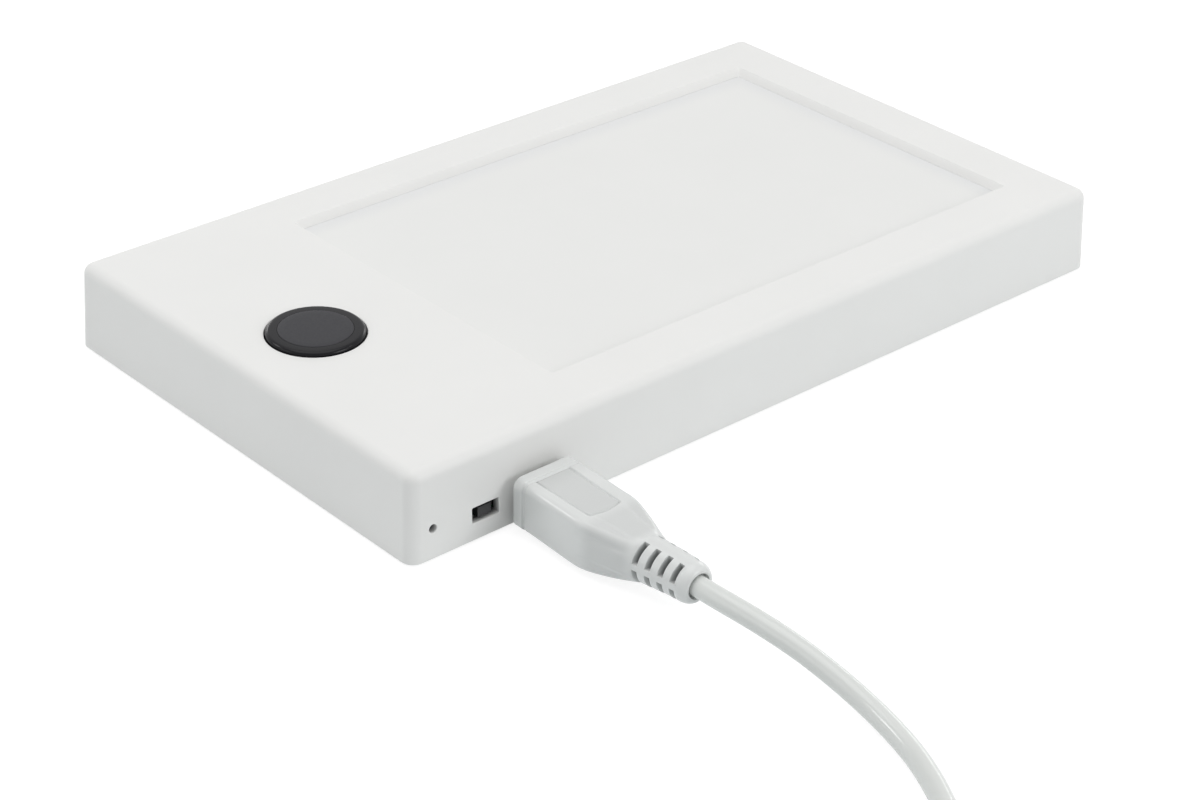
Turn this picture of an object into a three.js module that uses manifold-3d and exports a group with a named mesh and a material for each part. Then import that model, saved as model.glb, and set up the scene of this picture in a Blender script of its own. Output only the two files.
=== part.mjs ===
// A flat rechargeable light-panel table lamp with its charging cord plugged in.
// Millimetres, +Z up. The origin is on the table under the middle of the lamp, +X runs along the lamp's
// long side away from the push button, and -Y is the side with the charging socket.
import * as THREE from "three";
import { mergeVertices } from "three/addons/utils/BufferGeometryUtils.js";
import Module from "manifold-3d";

const wasm = await Module();
wasm.setup();

// Housing
const faceLength = 140.7;
const faceWidth = 81.4;
const bodyHeight = 14.1;
const wallLeanDegrees = 2.3;
const wallThickness = 1.4;
const skinThickness = 1;
const edgeRadius = 1.8;
const cornerRadius = 2;
const innerCornerRadius = 1.2;
const footHeight = 0.5;

// Window in the face, from the face's edges
const windowRightMargin = 10.04;
const windowLeftMargin = 33.36;
const windowSideMargin = 9.6;
const windowCornerRadius = 0.5;

// Clearances shared by all pieces
const seatGap = 0.1;
const sideGap = 0.2;
const softGap = 0.3;
const overrun = 0.5;

// Optical stack, from the window down
const plateOverlap = 3.2;
const plateEndOverlap = 1.6;
const diffuserThickness = 1.5;
const filmThickness = 0.3;
const guideThickness = 3;
const reflectorThickness = 0.3;
const trayFloor = 0.8;
const trayWall = 0.8;
const trayNotchWidth = 2.4;
const stripBoardThickness = 0.6;
const stripTail = 2.6;
const ledLength = 3;
const ledDepth = 0.7;
const ledHeight = 2.2;
const ledsPerStrip = 12;

// Bottom cover, its screws and feet
const coverThickness = 1.2;
const coverCornerRadius = 1;
const coverPadHeight = 1.2;
const coverPadRadius = 3;
const bossRadius = 2.3;
const bossBoreRadius = 1.05;
const bossBoreDepth = 6;
const rightBossInset = 2.9;
const leftBossInset = 2.9;
const leftBossInsetAcross = 6.2;
const screwHeadRadius = 1.9;
const screwHeadHeight = 0.8;
const screwShankRadius = 0.95;
const screwShankLength = 6.6;
const screwSlotWidth = 0.6;
const screwSlotDepth = 0.4;
const screwSlotShare = 0.6;
const counterboreRadius = 2.2;
const counterboreDepth = 1;
const shankHoleRadius = 1.2;
const footRadius = 4;
const footThickness = 1;
const footInsetLong = 16;
const footInsetAcross = 13;
const trayPostRadius = 1.6;
const trayPostInset = 4;

// Main board and what is soldered to it
const boardThickness = 1;
const boardLift = 0.782;
const boardEdgeGap = 0.9;
const boardTrayGap = 2.06;
const boardSupportRadius = 1.5;
const boardSupportInset = 8;
const boardScrewInset = 4.1;
const boardScrewInsetAcross = 8.4;
const boardScrewShankLength = 4;
const boardScrewPocketRadius = 2.5;
const boardScrewPocketDepth = 0.5;
const chipLength = 6;
const chipWidth = 5;
const chipHeight = 1.2;
const chipAcross = 17;
const coilLength = 5.4;
const coilHeight = 2.6;
const coilAcross = 18;
const headerLength = 4.6;
const headerWidth = 6;
const headerHeight = 3.4;
const headerWall = 0.6;
const headerEdgeGap = 0.3;
const matingPlugLength = 6;

// Battery
const batteryLeadRoom = 19.3;
const batteryEndInset = 17.25;
const batteryWidth = 44;
const batteryFloorGap = 1.2;
const batteryCornerRadius = 2;
const batteryFoldLength = 3.4;
const batteryFoldThickness = 1.6;
const tapeThickness = 0.5;
const tapeMargin = 4;
const leadRadius = 0.55;
const leadSpacing = 2.4;
const leadSides = 8;
const leadSteps = 6;
const ledLeadRadius = 0.5;
const ledLeadInset = 3.5;
const ledLeadBendShare = 0.7;
const ledLeadDropShare = 0.12;

// Push button and the switch under it
const buttonEndInset = 14.55;
const buttonRadius = 7.4;
const buttonRise = 0.6;
const buttonBevel = 0.65;
const buttonRimWidth = 1.2;
const buttonInsetRise = 0.1;
const buttonInsetDepth = 0.5;
const buttonFlangeReach = 0.8;
const buttonFlangeHeight = 0.9;
const buttonTopThickness = 1.5;
const buttonWall = 1;
const buttonStemRadius = 2;
const buttonGuideWall = 1.1;
const buttonGuideHeight = 3.2;
const buttonTravel = 0.3;
const tactBodySize = 6;
const tactBodyHeight = 3.4;
const tactPlungerRadius = 1.7;
const tactPlungerHeight = 5.2;
const tactPlungerDepth = 1.6;

// Side ports: places from the face's end, heights above the board
const ledHoleEndInset = 3.55;
const ledHoleLift = 1.718;
const ledHoleRadius = 0.65;
const pipeRadius = 0.55;
const pipeRecess = 0.9;
const pipeBlockSize = 2;
const statusLedSize = 1.4;
const statusLedHeight = 0.8;
const slotEndInset = 12.85;
const slotLift = 0.893;
const slotLength = 4.8;
const slotTallness = 2.45;
const leverLength = 2.4;
const leverTallness = 1.6;
const leverRecess = 0.35;
const leverTravel = 2;
const leverRootDepth = 1.4;
const switchBodyLength = 8.6;
const switchBodyDepth = 3.6;
const switchBodyTallness = 3;
const socketEndInset = 21.96;
const socketWidth = 7.6;
const socketTallness = 2.55;
const socketDepth = 5.3;
const socketWall = 0.25;
const socketChamfer = 0.7;
const socketRecess = 0.6;
const tongueWidth = 3.8;
const tongueThickness = 0.55;
const tongueLength = 3.6;

// Small plug on the cord, in the lamp's socket
const plugFaceGap = 1.5;
const plugShellWidth = 6.85;
const plugShellTallness = 1.8;
const plugShellWall = 0.25;
const plugShellChamfer = 0.55;
const plugShellReach = 6.5;
const plugShellRoot = 3;
const plugShellHollow = 5.7;
const flangeWidth = 11;
const flangeTallness = 8;
const flangeThickness = 1.7;
const flangeCornerRadius = 1.5;
const gripWidth = 10.7;
const gripTallness = 7.7;
const gripCornerRadius = 1.1;
const gripStraight = 12.2;
const gripTaper = 8.5;
const gripPanelLength = 10.7;
const gripPanelNarrow = 6;
const gripPanelWide = 6.3;
const gripPanelDepth = 0.3;
const gripPanelSetback = 0.3;
const reliefStartRadius = 3.4;
const reliefEndRadius = 2.95;
const reliefLength = 9.9;
const reliefEndRound = 0.9;
const reliefSlotDepth = 1;
const reliefSlotWidth = 0.95;
const reliefSpineWidth = 1.2;
const reliefPitch = 2.15;
const reliefFirstSlot = 0.1;
const reliefSlotRings = 4;

// Cord
const cordDiameter = 3.1;
const cordSides = 8;
const cordStepInDiameters = 2.4;
const coilCentreX = -93.55;
const coilCentreY = -139.8;
const coilOuterRadius = 25;
const coilTurnGap = 0.5;
const coilEntryDegrees = -34;
const coilExitDegrees = -90;
const coilWholeLoops = 8;
const coilStepsPerLoop = 24;
const coilClimbLoops = 0.5;
const coilSides = 6;
const tailLength = 19;
const tailSteps = 6;
const tieThickness = 0.5;
const tieWidth = 6;
const tieGap = 0.15;
const tieDegrees = 130;

// Large plug at the far end of the cord
const farGripLength = 20;
const farGripWidth = 15.6;
const farGripTallness = 8;
const farGripCornerRadius = 1.8;
const farGripTaper = 3;
const farReliefRadius = 2.9;
const farReliefLength = 9;
const farReliefEndRadius = 2.5;
const farShellLength = 18.6;
const farShellRoot = 4;
const farShellWidth = 12;
const farShellTallness = 4.5;
const farShellWall = 0.3;
const farTongueWidth = 11;
const farTongueThickness = 1.8;
const farTongueLength = 14;
const farShellHollow = 17;
const farShellCornerRadius = 0.4;
const farTableGap = 0.1;

// Steps on round shapes
const cornerSteps = 4;
const edgeSteps = 5;
const roundSides = 48;
const smallSides = 20;

// Heights worked out from the sizes above
const bottomHeight = footHeight;
const topHeight = bottomHeight + bodyHeight;
const skinUnderside = topHeight - skinThickness;
const coverInside = bottomHeight + coverThickness;
const leanSlope = Math.tan(THREE.MathUtils.degToRad(wallLeanDegrees));
const diffuserTop = skinUnderside - seatGap;
const diffuserUnderside = diffuserTop - diffuserThickness;
const filmTop = diffuserUnderside - seatGap;
const guideTop = filmTop - filmThickness - seatGap;
const guideUnderside = guideTop - guideThickness;
const reflectorTop = guideUnderside - seatGap;
const trayTop = diffuserUnderside - seatGap;
const trayFloorTop = reflectorTop - reflectorThickness - seatGap;
const trayUnderside = trayFloorTop - trayFloor;
const tapeTop = trayUnderside - seatGap;
const batteryTop = tapeTop - tapeThickness - seatGap;
const batteryUnderside = coverInside + batteryFloorGap;
const batteryMiddle = (batteryTop + batteryUnderside) / 2;
const boardUnderside = coverInside + boardLift;
const boardTop = boardUnderside + boardThickness;
const partSeat = boardTop + seatGap / 2;
const ledHoleHeight = partSeat + ledHoleLift;
const slotHeight = partSeat + slotLift;
const socketHeight = partSeat + socketTallness / 2;

// Places along and across worked out from the sizes above
const windowLength = faceLength - windowLeftMargin - windowRightMargin;
const windowWidth = faceWidth - 2 * windowSideMargin;
const windowMiddle = (windowLeftMargin - windowRightMargin) / 2;
const trayLength = windowLength + 2 * plateEndOverlap;
const trayWidth = windowWidth + 2 * plateOverlap;
const trayLeft = windowMiddle - trayLength / 2;
const stripAcross = trayWidth / 2 - trayWall - seatGap;
const guideHalfWidth = stripAcross - stripBoardThickness - ledDepth - seatGap;
const guideLength = trayLength - 2 * trayWall - 2 * seatGap;
const cavityEnd = faceLength / 2 - wallThickness;
const cavitySide = faceWidth / 2 - wallThickness;
const boardLeft = -cavityEnd + boardEdgeGap;
const boardRight = trayLeft - boardTrayGap;
const boardHalfWidth = cavitySide - boardEdgeGap;
const buttonX = buttonEndInset - faceLength / 2;
const buttonTopRadius = buttonRadius - buttonBevel;
const buttonInsetRadius = buttonTopRadius - buttonRimWidth;
const buttonFlangeRadius = buttonRadius + buttonFlangeReach;
const ledHoleX = ledHoleEndInset - faceLength / 2;
const slotX = slotEndInset - faceLength / 2;
const socketX = socketEndInset - faceLength / 2;
const cordRadius = cordDiameter / 2;
const coilPitch = cordDiameter + coilTurnGap;
const coilRise = cordDiameter + coilTurnGap;

// Half the lamp's length or width at a height on its leaning wall, from half its size at the face.
function halfAt(halfFace, height) {
  return halfFace + leanSlope * (topHeight - height);
}

// The outside of the -Y wall at a height.
function frontWallAt(height) {
  return -halfAt(faceWidth / 2, height);
}

// Joining and cutting
function solidFrom(geometry) {
  const bare = geometry.index ? geometry.toNonIndexed() : geometry.clone();
  bare.deleteAttribute("normal");
  bare.deleteAttribute("uv");
  const merged = mergeVertices(bare);
  const vertProperties = new Float32Array(merged.attributes.position.array);
  const triVerts = new Uint32Array(merged.index.array);
  return new wasm.Manifold(new wasm.Mesh({ numProp: 3, vertProperties, triVerts }));
}

function geometryFrom(solid) {
  const mesh = solid.getMesh();
  const geometry = new THREE.BufferGeometry();
  geometry.setAttribute("position", new THREE.BufferAttribute(new Float32Array(mesh.vertProperties), 3));
  geometry.setIndex(new THREE.BufferAttribute(new Uint32Array(mesh.triVerts), 1));
  const flat = geometry.toNonIndexed();
  flat.computeVertexNormals();
  return flat;
}

function build(base, joined = [], cut = []) {
  let solid = solidFrom(base);
  for (const piece of joined) solid = solid.add(solidFrom(piece));
  for (const piece of cut) solid = solid.subtract(solidFrom(piece));
  return geometryFrom(solid);
}

// Plain shapes
function block(x0, x1, y0, y1, z0, z1) {
  const box = new THREE.BoxGeometry(x1 - x0, y1 - y0, z1 - z0);
  return box.translate((x0 + x1) / 2, (y0 + y1) / 2, (z0 + z1) / 2);
}

function post(radius, x, y, z0, z1, sides = smallSides) {
  const cylinder = new THREE.CylinderGeometry(radius, radius, z1 - z0, sides);
  return cylinder.rotateX(Math.PI / 2).translate(x, y, (z0 + z1) / 2);
}

function rodAlongY(radius, x, z, y0, y1) {
  const cylinder = new THREE.CylinderGeometry(radius, radius, y1 - y0, smallSides);
  return cylinder.translate(x, (y0 + y1) / 2, z);
}

// A rounded rectangle's points, anticlockwise, with a quarter circle at each corner.
function roundedRectangle(halfLength, halfWidth, radius) {
  const points = [];
  const quarters = [[1, 1], [-1, 1], [-1, -1], [1, -1]];
  quarters.forEach(([signX, signY], quarter) => {
    for (let step = 0; step <= cornerSteps; step += 1) {
      const angle = (quarter + step / cornerSteps) * Math.PI / 2;
      points.push([
        signX * (halfLength - radius) + radius * Math.cos(angle),
        signY * (halfWidth - radius) + radius * Math.sin(angle),
      ]);
    }
  });
  return points;
}

// A closed body through rings of equal point counts, with a flat cap at each end.
function loft(rings) {
  const count = rings[0].length;
  const positions = rings.flat(2);
  const index = [];
  for (let ring = 0; ring + 1 < rings.length; ring += 1) {
    for (let point = 0; point < count; point += 1) {
      const a = ring * count + point;
      const b = ring * count + (point + 1) % count;
      index.push(a, b, b + count, a, b + count, a + count);
    }
  }
  const last = (rings.length - 1) * count;
  for (let point = 1; point + 1 < count; point += 1) {
    index.push(0, point + 1, point);
    index.push(last, last + point, last + point + 1);
  }
  const geometry = new THREE.BufferGeometry();
  geometry.setAttribute("position", new THREE.Float32BufferAttribute(positions, 3));
  geometry.setIndex(index);
  return geometry;
}

function levelRing(halfLength, halfWidth, radius, height, middleX = 0, middleY = 0) {
  return roundedRectangle(halfLength, halfWidth, radius).map(([x, y]) => [middleX + x, middleY + y, height]);
}

// A flat plate with rounded corners between two heights.
function plate(length, width, radius, z0, z1, middleX = 0, middleY = 0) {
  return loft([
    levelRing(length / 2, width / 2, radius, z0, middleX, middleY),
    levelRing(length / 2, width / 2, radius, z1, middleX, middleY),
  ]);
}

// A ring across the Y axis, wound so that lofting towards -Y faces outwards.
function crossRing(y, halfWidth, halfTallness, radius) {
  return roundedRectangle(halfWidth, halfTallness, radius).map(([x, z]) => [x, y, z]);
}

// The outline of a small flat connector: square above, with its lower corners cut off.
function connectorOutline(width, tallness, chamfer) {
  const halfWidth = width / 2;
  const halfTallness = tallness / 2;
  return [
    [halfWidth, halfTallness],
    [-halfWidth, halfTallness],
    [-halfWidth, chamfer - halfTallness],
    [chamfer - halfWidth, -halfTallness],
    [halfWidth - chamfer, -halfTallness],
    [halfWidth, chamfer - halfTallness],
  ];
}

// The same outline carried along Y, between two places.
function connectorBar(width, tallness, chamfer, y0, y1) {
  const outline = connectorOutline(width, tallness, chamfer);
  return loft([outline.map(([x, z]) => [x, y1, z]), outline.map(([x, z]) => [x, y0, z])]);
}

// A turned body about the Z axis from a closed or axis-to-axis profile of [radius, height].
function turned(profile, x, y, sides = roundSides) {
  const points = profile.map(([radius, height]) => new THREE.Vector2(radius, height));
  const lathe = new THREE.LatheGeometry(points, sides);
  return lathe.rotateX(Math.PI / 2).translate(x, y, 0);
}

// A round wire or cord along a smooth curve through its points.
function wire(points, radius, sides, steps) {
  const path = new THREE.CatmullRomCurve3(points.map((point) => new THREE.Vector3(...point)), false, "centripetal");
  const section = new THREE.Shape();
  for (let side = 0; side < sides; side += 1) {
    const angle = side / sides * Math.PI * 2;
    const x = radius * Math.cos(angle);
    const y = radius * Math.sin(angle);
    if (side === 0) section.moveTo(x, y);
    else section.lineTo(x, y);
  }
  section.closePath();
  const geometry = new THREE.ExtrudeGeometry(section, { steps, extrudePath: path, bevelEnabled: false });
  return geometryFrom(solidFrom(geometry));
}

// Materials
function material(color, roughness, metalness, opacity = 1) {
  return new THREE.MeshStandardMaterial({ color, roughness, metalness, opacity, transparent: opacity < 1 });
}

const whitePlastic = material(0xe9eae8, 0.45, 0);
const cordPlastic = material(0xdcdfdb, 0.3, 0);
const opalPlastic = material(0xe8e9e8, 0.35, 0);
const clearPlastic = material(0xdfe8ea, 0.05, 0, 0.4);
const filmPlastic = material(0xe4e8ea, 0.2, 0, 0.6);
const reflectorPlastic = material(0xf4f4f2, 0.5, 0);
const glossBlack = material(0x1b1d20, 0.12, 0);
const satinGrey = material(0x4a4b4f, 0.55, 0);
const mattBlack = material(0x17181a, 0.6, 0);
const boardGreen = material(0x1f6b45, 0.5, 0);
const boardWhite = material(0xeeeeea, 0.5, 0);
const steel = material(0xb9bbbd, 0.3, 1);
const goldenBrass = material(0xb8925a, 0.3, 1);
const greyRubber = material(0x3b3c3e, 0.8, 0);
const batteryFoil = material(0xa9adb2, 0.35, 0.8);
const foam = material(0x6d7074, 0.95, 0);
const redWire = material(0xb3221c, 0.45, 0);
const blackWire = material(0x202124, 0.45, 0);

const lamp = new THREE.Group();

function addPiece(name, geometry, finish, parent = lamp) {
  const mesh = new THREE.Mesh(geometry, finish);
  mesh.name = name;
  parent.add(mesh);
  return mesh;
}

// Places of the screws that hold the cover, one near each corner of the housing
const coverScrews = [
  [cavityEnd - rightBossInset, cavitySide - rightBossInset],
  [cavityEnd - rightBossInset, rightBossInset - cavitySide],
  [leftBossInset - cavityEnd, cavitySide - leftBossInsetAcross],
  [leftBossInset - cavityEnd, leftBossInsetAcross - cavitySide],
];
const boardScrews = [
  [boardRight - boardScrewInset, boardHalfWidth - boardScrewInsetAcross],
  [boardRight - boardScrewInset, boardScrewInsetAcross - boardHalfWidth],
];
const coverBossFoot = coverInside + coverPadHeight + seatGap;
const boardBossFoot = boardTop + seatGap;

// Outside of the housing: leaning walls, a rounded edge that meets both wall and face, and the face.
function housingOutside() {
  const lean = THREE.MathUtils.degToRad(wallLeanDegrees);
  const arcInset = edgeRadius / Math.cos(lean) - leanSlope * edgeRadius;
  const rings = [];
  const wallStart = edgeRadius * Math.cos(lean) - arcInset;
  const addRing = (outward, height) => {
    const radius = cornerRadius + Math.min(outward - wallStart, 0);
    rings.push(levelRing(faceLength / 2 + outward, faceWidth / 2 + outward, radius, height));
  };
  addRing(leanSlope * bodyHeight, bottomHeight);
  for (let step = 0; step <= edgeSteps; step += 1) {
    const angle = lean + (Math.PI / 2 - lean) * step / edgeSteps;
    addRing(edgeRadius * Math.cos(angle) - arcInset, topHeight - edgeRadius + edgeRadius * Math.sin(angle));
  }
  return loft(rings);
}

function housingCavity() {
  const low = bottomHeight - overrun;
  const ring = (height) => levelRing(
    halfAt(faceLength / 2, height) - wallThickness,
    halfAt(faceWidth / 2, height) - wallThickness,
    innerCornerRadius,
    height,
  );
  return loft([ring(low), ring(skinUnderside)]);
}

function topHousing() {
  const joined = [post(
    buttonFlangeRadius + sideGap + buttonGuideWall,
    buttonX,
    0,
    skinUnderside - buttonGuideHeight,
    skinUnderside + skinThickness / 2,
    roundSides,
  )];
  const cut = [
    plate(windowLength, windowWidth, windowCornerRadius, skinUnderside - overrun, topHeight + overrun, windowMiddle),
    post(buttonRadius + sideGap, buttonX, 0, skinUnderside - overrun, topHeight + overrun, roundSides),
    post(buttonFlangeRadius + sideGap, buttonX, 0, skinUnderside - buttonGuideHeight - overrun, skinUnderside, roundSides),
    rodAlongY(ledHoleRadius, ledHoleX, ledHoleHeight, frontWallAt(bottomHeight) - overrun, overrun - cavitySide),
    block(
      slotX - slotLength / 2, slotX + slotLength / 2,
      frontWallAt(bottomHeight) - overrun, overrun - cavitySide,
      slotHeight - slotTallness / 2, slotHeight + slotTallness / 2,
    ),
    connectorBar(
      socketWidth + 2 * sideGap, socketTallness + 2 * sideGap, socketChamfer,
      frontWallAt(bottomHeight) - overrun, overrun - cavitySide,
    ).translate(socketX, 0, socketHeight),
  ];
  for (const [x, y] of coverScrews) {
    joined.push(post(bossRadius, x, y, coverBossFoot, skinUnderside + skinThickness / 2));
    cut.push(post(bossBoreRadius, x, y, coverBossFoot - overrun, coverBossFoot + bossBoreDepth));
  }
  for (const [x, y] of boardScrews) {
    joined.push(post(bossRadius, x, y, boardBossFoot, skinUnderside + skinThickness / 2));
    cut.push(post(bossBoreRadius, x, y, boardBossFoot - overrun, boardBossFoot + bossBoreDepth));
  }
  const shell = geometryFrom(solidFrom(housingOutside()).subtract(solidFrom(housingCavity())));
  return build(shell, joined, cut);
}

// Places of the feet and of the posts that carry the tray
const feet = [[1, 1], [1, -1], [-1, 1], [-1, -1]].map(([signX, signY]) => [
  signX * (faceLength / 2 - footInsetLong),
  signY * (faceWidth / 2 - footInsetAcross),
]);
const trayPosts = [[1, 1], [1, -1], [-1, 1], [-1, -1]].map(([signX, signY]) => [
  windowMiddle + signX * (trayLength / 2 - trayPostInset),
  signY * (trayWidth / 2 - trayPostInset),
]);
const footRecessRoof = footThickness + seatGap;

function bottomCover() {
  const length = 2 * (halfAt(faceLength / 2, coverInside) - wallThickness - sideGap);
  const width = 2 * (halfAt(faceWidth / 2, coverInside) - wallThickness - sideGap);
  const joined = [];
  const cut = [];
  for (const [x, y] of coverScrews) {
    joined.push(post(coverPadRadius, x, y, bottomHeight + coverThickness / 2, coverInside + coverPadHeight));
    cut.push(post(counterboreRadius, x, y, bottomHeight - overrun, bottomHeight + counterboreDepth));
    cut.push(post(shankHoleRadius, x, y, bottomHeight, coverInside + coverPadHeight + overrun));
  }
  for (const [x, y] of boardScrews) {
    cut.push(post(boardScrewPocketRadius, x, y, coverInside - boardScrewPocketDepth, coverInside + overrun));
  }
  for (const x of [boardLeft + boardSupportInset, boardRight - boardSupportInset]) {
    for (const side of [1, -1]) {
      const y = side * (boardHalfWidth - boardSupportInset);
      joined.push(post(boardSupportRadius, x, y, bottomHeight + coverThickness / 2, boardUnderside - seatGap));
    }
  }
  for (const [x, y] of trayPosts) {
    joined.push(post(trayPostRadius, x, y, bottomHeight + coverThickness / 2, trayUnderside - seatGap));
  }
  for (const [x, y] of feet) {
    cut.push(post(footRadius + seatGap, x, y, bottomHeight - overrun, footRecessRoof));
  }
  return build(plate(length, width, coverCornerRadius, bottomHeight, coverInside), joined, cut);
}

// A screw with its head down: a flat head with a cross cut into it, and a plain shank.
function screw(shankLength) {
  const head = post(screwHeadRadius, 0, 0, 0, screwHeadHeight);
  const shank = post(screwShankRadius, 0, 0, screwHeadHeight / 2, screwHeadHeight + shankLength);
  const reach = screwHeadRadius * screwSlotShare;
  const half = screwSlotWidth / 2;
  return build(head, [shank], [
    block(-reach, reach, -half, half, -screwSlotDepth, screwSlotDepth),
    block(-half, half, -reach, reach, -screwSlotDepth, screwSlotDepth),
  ]);
}

function trayBody() {
  const outer = plate(trayLength, trayWidth, windowCornerRadius, trayUnderside, trayTop, windowMiddle);
  const halfLength = trayLength / 2 - trayWall;
  const halfWidth = trayWidth / 2 - trayWall;
  const inner = block(
    windowMiddle - halfLength, windowMiddle + halfLength, -halfWidth, halfWidth,
    trayFloorTop, trayTop + overrun,
  );
  const notches = [1, -1].map((side) => block(
    trayLeft - overrun, trayLeft + trayWall + overrun,
    side > 0 ? stripAcross + seatGap - trayNotchWidth : -stripAcross - seatGap,
    side > 0 ? stripAcross + seatGap : trayNotchWidth - stripAcross - seatGap,
    trayFloorTop, trayTop + overrun,
  ));
  return build(outer, [], [inner, ...notches]);
}

// A strip of lights on its edge, facing the guide: side is 1 at +Y and -1 at -Y.
function ledStrip(side) {
  const low = trayFloorTop + seatGap;
  const high = trayTop - seatGap;
  const right = windowMiddle + trayLength / 2 - trayWall - seatGap;
  const back = side * stripAcross;
  const front = side * (stripAcross - stripBoardThickness);
  const lit = side * (stripAcross - stripBoardThickness - ledDepth);
  const middle = (guideTop + guideUnderside) / 2;
  const start = trayLeft + trayWall + seatGap;
  const spacing = (right - start) / ledsPerStrip;
  const lights = [];
  for (let light = 0; light < ledsPerStrip; light += 1) {
    const x = start + spacing * (2 * light + 1) / 2;
    lights.push(block(
      x - ledLength / 2, x + ledLength / 2,
      Math.min(lit, back), Math.max(lit, back),
      middle - ledHeight / 2, middle + ledHeight / 2,
    ));
  }
  const strip = block(trayLeft - stripTail, right, Math.min(back, front), Math.max(back, front), low, high);
  return build(strip, lights);
}

// The lead from a strip's tail down to the board.
function ledLead(side) {
  const y = side * (stripAcross - stripBoardThickness / 2);
  const top = trayFloorTop + (trayTop - trayFloorTop) / 2;
  const x0 = trayLeft - stripTail - softGap;
  const x1 = boardRight - ledLeadInset;
  const z1 = boardTop + softGap;
  return wire([
    [x0, y, top],
    [x0 + (x1 - x0) * ledLeadBendShare, y, top - (top - z1) * ledLeadDropShare],
    [x1, y, (top + z1) / 2],
    [x1, y, z1],
  ], ledLeadRadius, leadSides, leadSteps);
}

function mainBoard() {
  const base = block(boardLeft, boardRight, -boardHalfWidth, boardHalfWidth, boardUnderside, boardTop);
  const cut = [];
  for (const [x, y] of coverScrews.slice(2)) {
    cut.push(post(coverPadRadius + softGap, x, y, boardUnderside - overrun, boardTop + overrun));
  }
  for (const [x, y] of boardScrews) {
    cut.push(post(shankHoleRadius, x, y, boardUnderside - overrun, boardTop + overrun));
  }
  return build(base, [], cut);
}

// Push button: a cap with a rounded rim, held under the skin by its flange, with a stem for the switch.
const capTop = topHeight + buttonRise;
const flangeTop = skinUnderside - seatGap;
const flangeFoot = flangeTop - buttonFlangeHeight;
const plungerTop = boardTop + tactPlungerHeight;

function buttonCap() {
  const profile = [[0, capTop - buttonInsetDepth], [buttonInsetRadius + seatGap, capTop - buttonInsetDepth]];
  profile.push([buttonInsetRadius + seatGap, capTop]);
  for (let step = 0; step <= edgeSteps; step += 1) {
    const angle = Math.PI / 2 * (1 - step / edgeSteps);
    profile.push([buttonTopRadius + buttonBevel * Math.cos(angle), topHeight + buttonRise * Math.sin(angle)]);
  }
  const hollowRadius = buttonRadius - buttonWall;
  profile.push([buttonRadius, flangeTop], [buttonFlangeRadius, flangeTop], [buttonFlangeRadius, flangeFoot]);
  profile.push([hollowRadius, flangeFoot], [hollowRadius, capTop - buttonTopThickness]);
  profile.push([buttonStemRadius, capTop - buttonTopThickness]);
  profile.push([buttonStemRadius, plungerTop + seatGap / 2], [0, plungerTop + seatGap / 2]);
  return geometryFrom(solidFrom(turned(profile.reverse(), buttonX, 0)));
}

function buttonInset() {
  const low = capTop - buttonInsetDepth + seatGap / 2;
  const high = capTop + buttonInsetRise;
  const profile = [[0, low], [buttonInsetRadius, low], [buttonInsetRadius, capTop], [0, high]];
  return geometryFrom(solidFrom(turned(profile, buttonX, 0)));
}

function tactBody() {
  const half = tactBodySize / 2;
  const body = block(buttonX - half, buttonX + half, -half, half, partSeat, partSeat + tactBodyHeight);
  const low = partSeat + tactBodyHeight - tactPlungerDepth - buttonTravel - seatGap;
  return build(body, [], [post(tactPlungerRadius + seatGap, buttonX, 0, low, partSeat + tactBodyHeight + overrun)]);
}

function tactPlunger() {
  return build(post(tactPlungerRadius, buttonX, 0, partSeat + tactBodyHeight - tactPlungerDepth, plungerTop));
}

// Slide switch: a body on the board and a lever that reaches into the slot in the wall.
const leverStart = slotX;
const switchFront = seatGap - cavitySide;
const leverTip = frontWallAt(slotHeight) + leverRecess;

function switchBody() {
  const half = switchBodyLength / 2;
  const body = block(slotX - half, slotX + half, switchFront, switchFront + switchBodyDepth, partSeat, partSeat + switchBodyTallness);
  const reach = (leverLength + leverTravel) / 2 + seatGap;
  const groove = block(
    slotX - reach, slotX + reach,
    switchFront - overrun, switchFront + leverRootDepth + seatGap,
    partSeat - overrun, slotHeight + leverTallness / 2 + seatGap,
  );
  return build(body, [], [groove]);
}

function switchLever() {
  return block(
    leverStart - leverLength / 2, leverStart + leverLength / 2,
    leverTip, switchFront + leverRootDepth,
    slotHeight - leverTallness / 2, slotHeight + leverTallness / 2,
  );
}

// Status light: a small light on the board and a clear pipe that carries it to the hole in the wall.
const pipeFront = frontWallAt(ledHoleHeight) + pipeRecess;
const pipeBlockFront = seatGap - cavitySide;

function lightPipe() {
  const half = pipeBlockSize / 2;
  const low = partSeat + statusLedHeight + seatGap;
  const foot = block(ledHoleX - half, ledHoleX + half, pipeBlockFront, pipeBlockFront + pipeBlockSize, low, ledHoleHeight + half);
  return build(foot, [rodAlongY(pipeRadius, ledHoleX, ledHoleHeight, pipeFront, pipeBlockFront + half)]);
}

function statusLed() {
  const half = statusLedSize / 2;
  const y = pipeBlockFront + pipeBlockSize / 2;
  const x = Math.max(ledHoleX, boardLeft + half);
  return block(x - half, x + half, y - half, y + half, partSeat, partSeat + statusLedHeight);
}

// Charging socket: a metal shell open towards -Y with a contact tongue inside.
const socketFront = frontWallAt(socketHeight) + socketRecess;
const socketBack = socketFront + socketDepth;

function socketShell() {
  const outer = connectorBar(socketWidth, socketTallness, socketChamfer, socketFront, socketBack);
  const inner = connectorBar(
    socketWidth - 2 * socketWall, socketTallness - 2 * socketWall, socketChamfer - socketWall / 2,
    socketFront - overrun, socketBack - socketWall,
  );
  return build(outer, [], [inner]).translate(socketX, 0, socketHeight);
}

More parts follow.
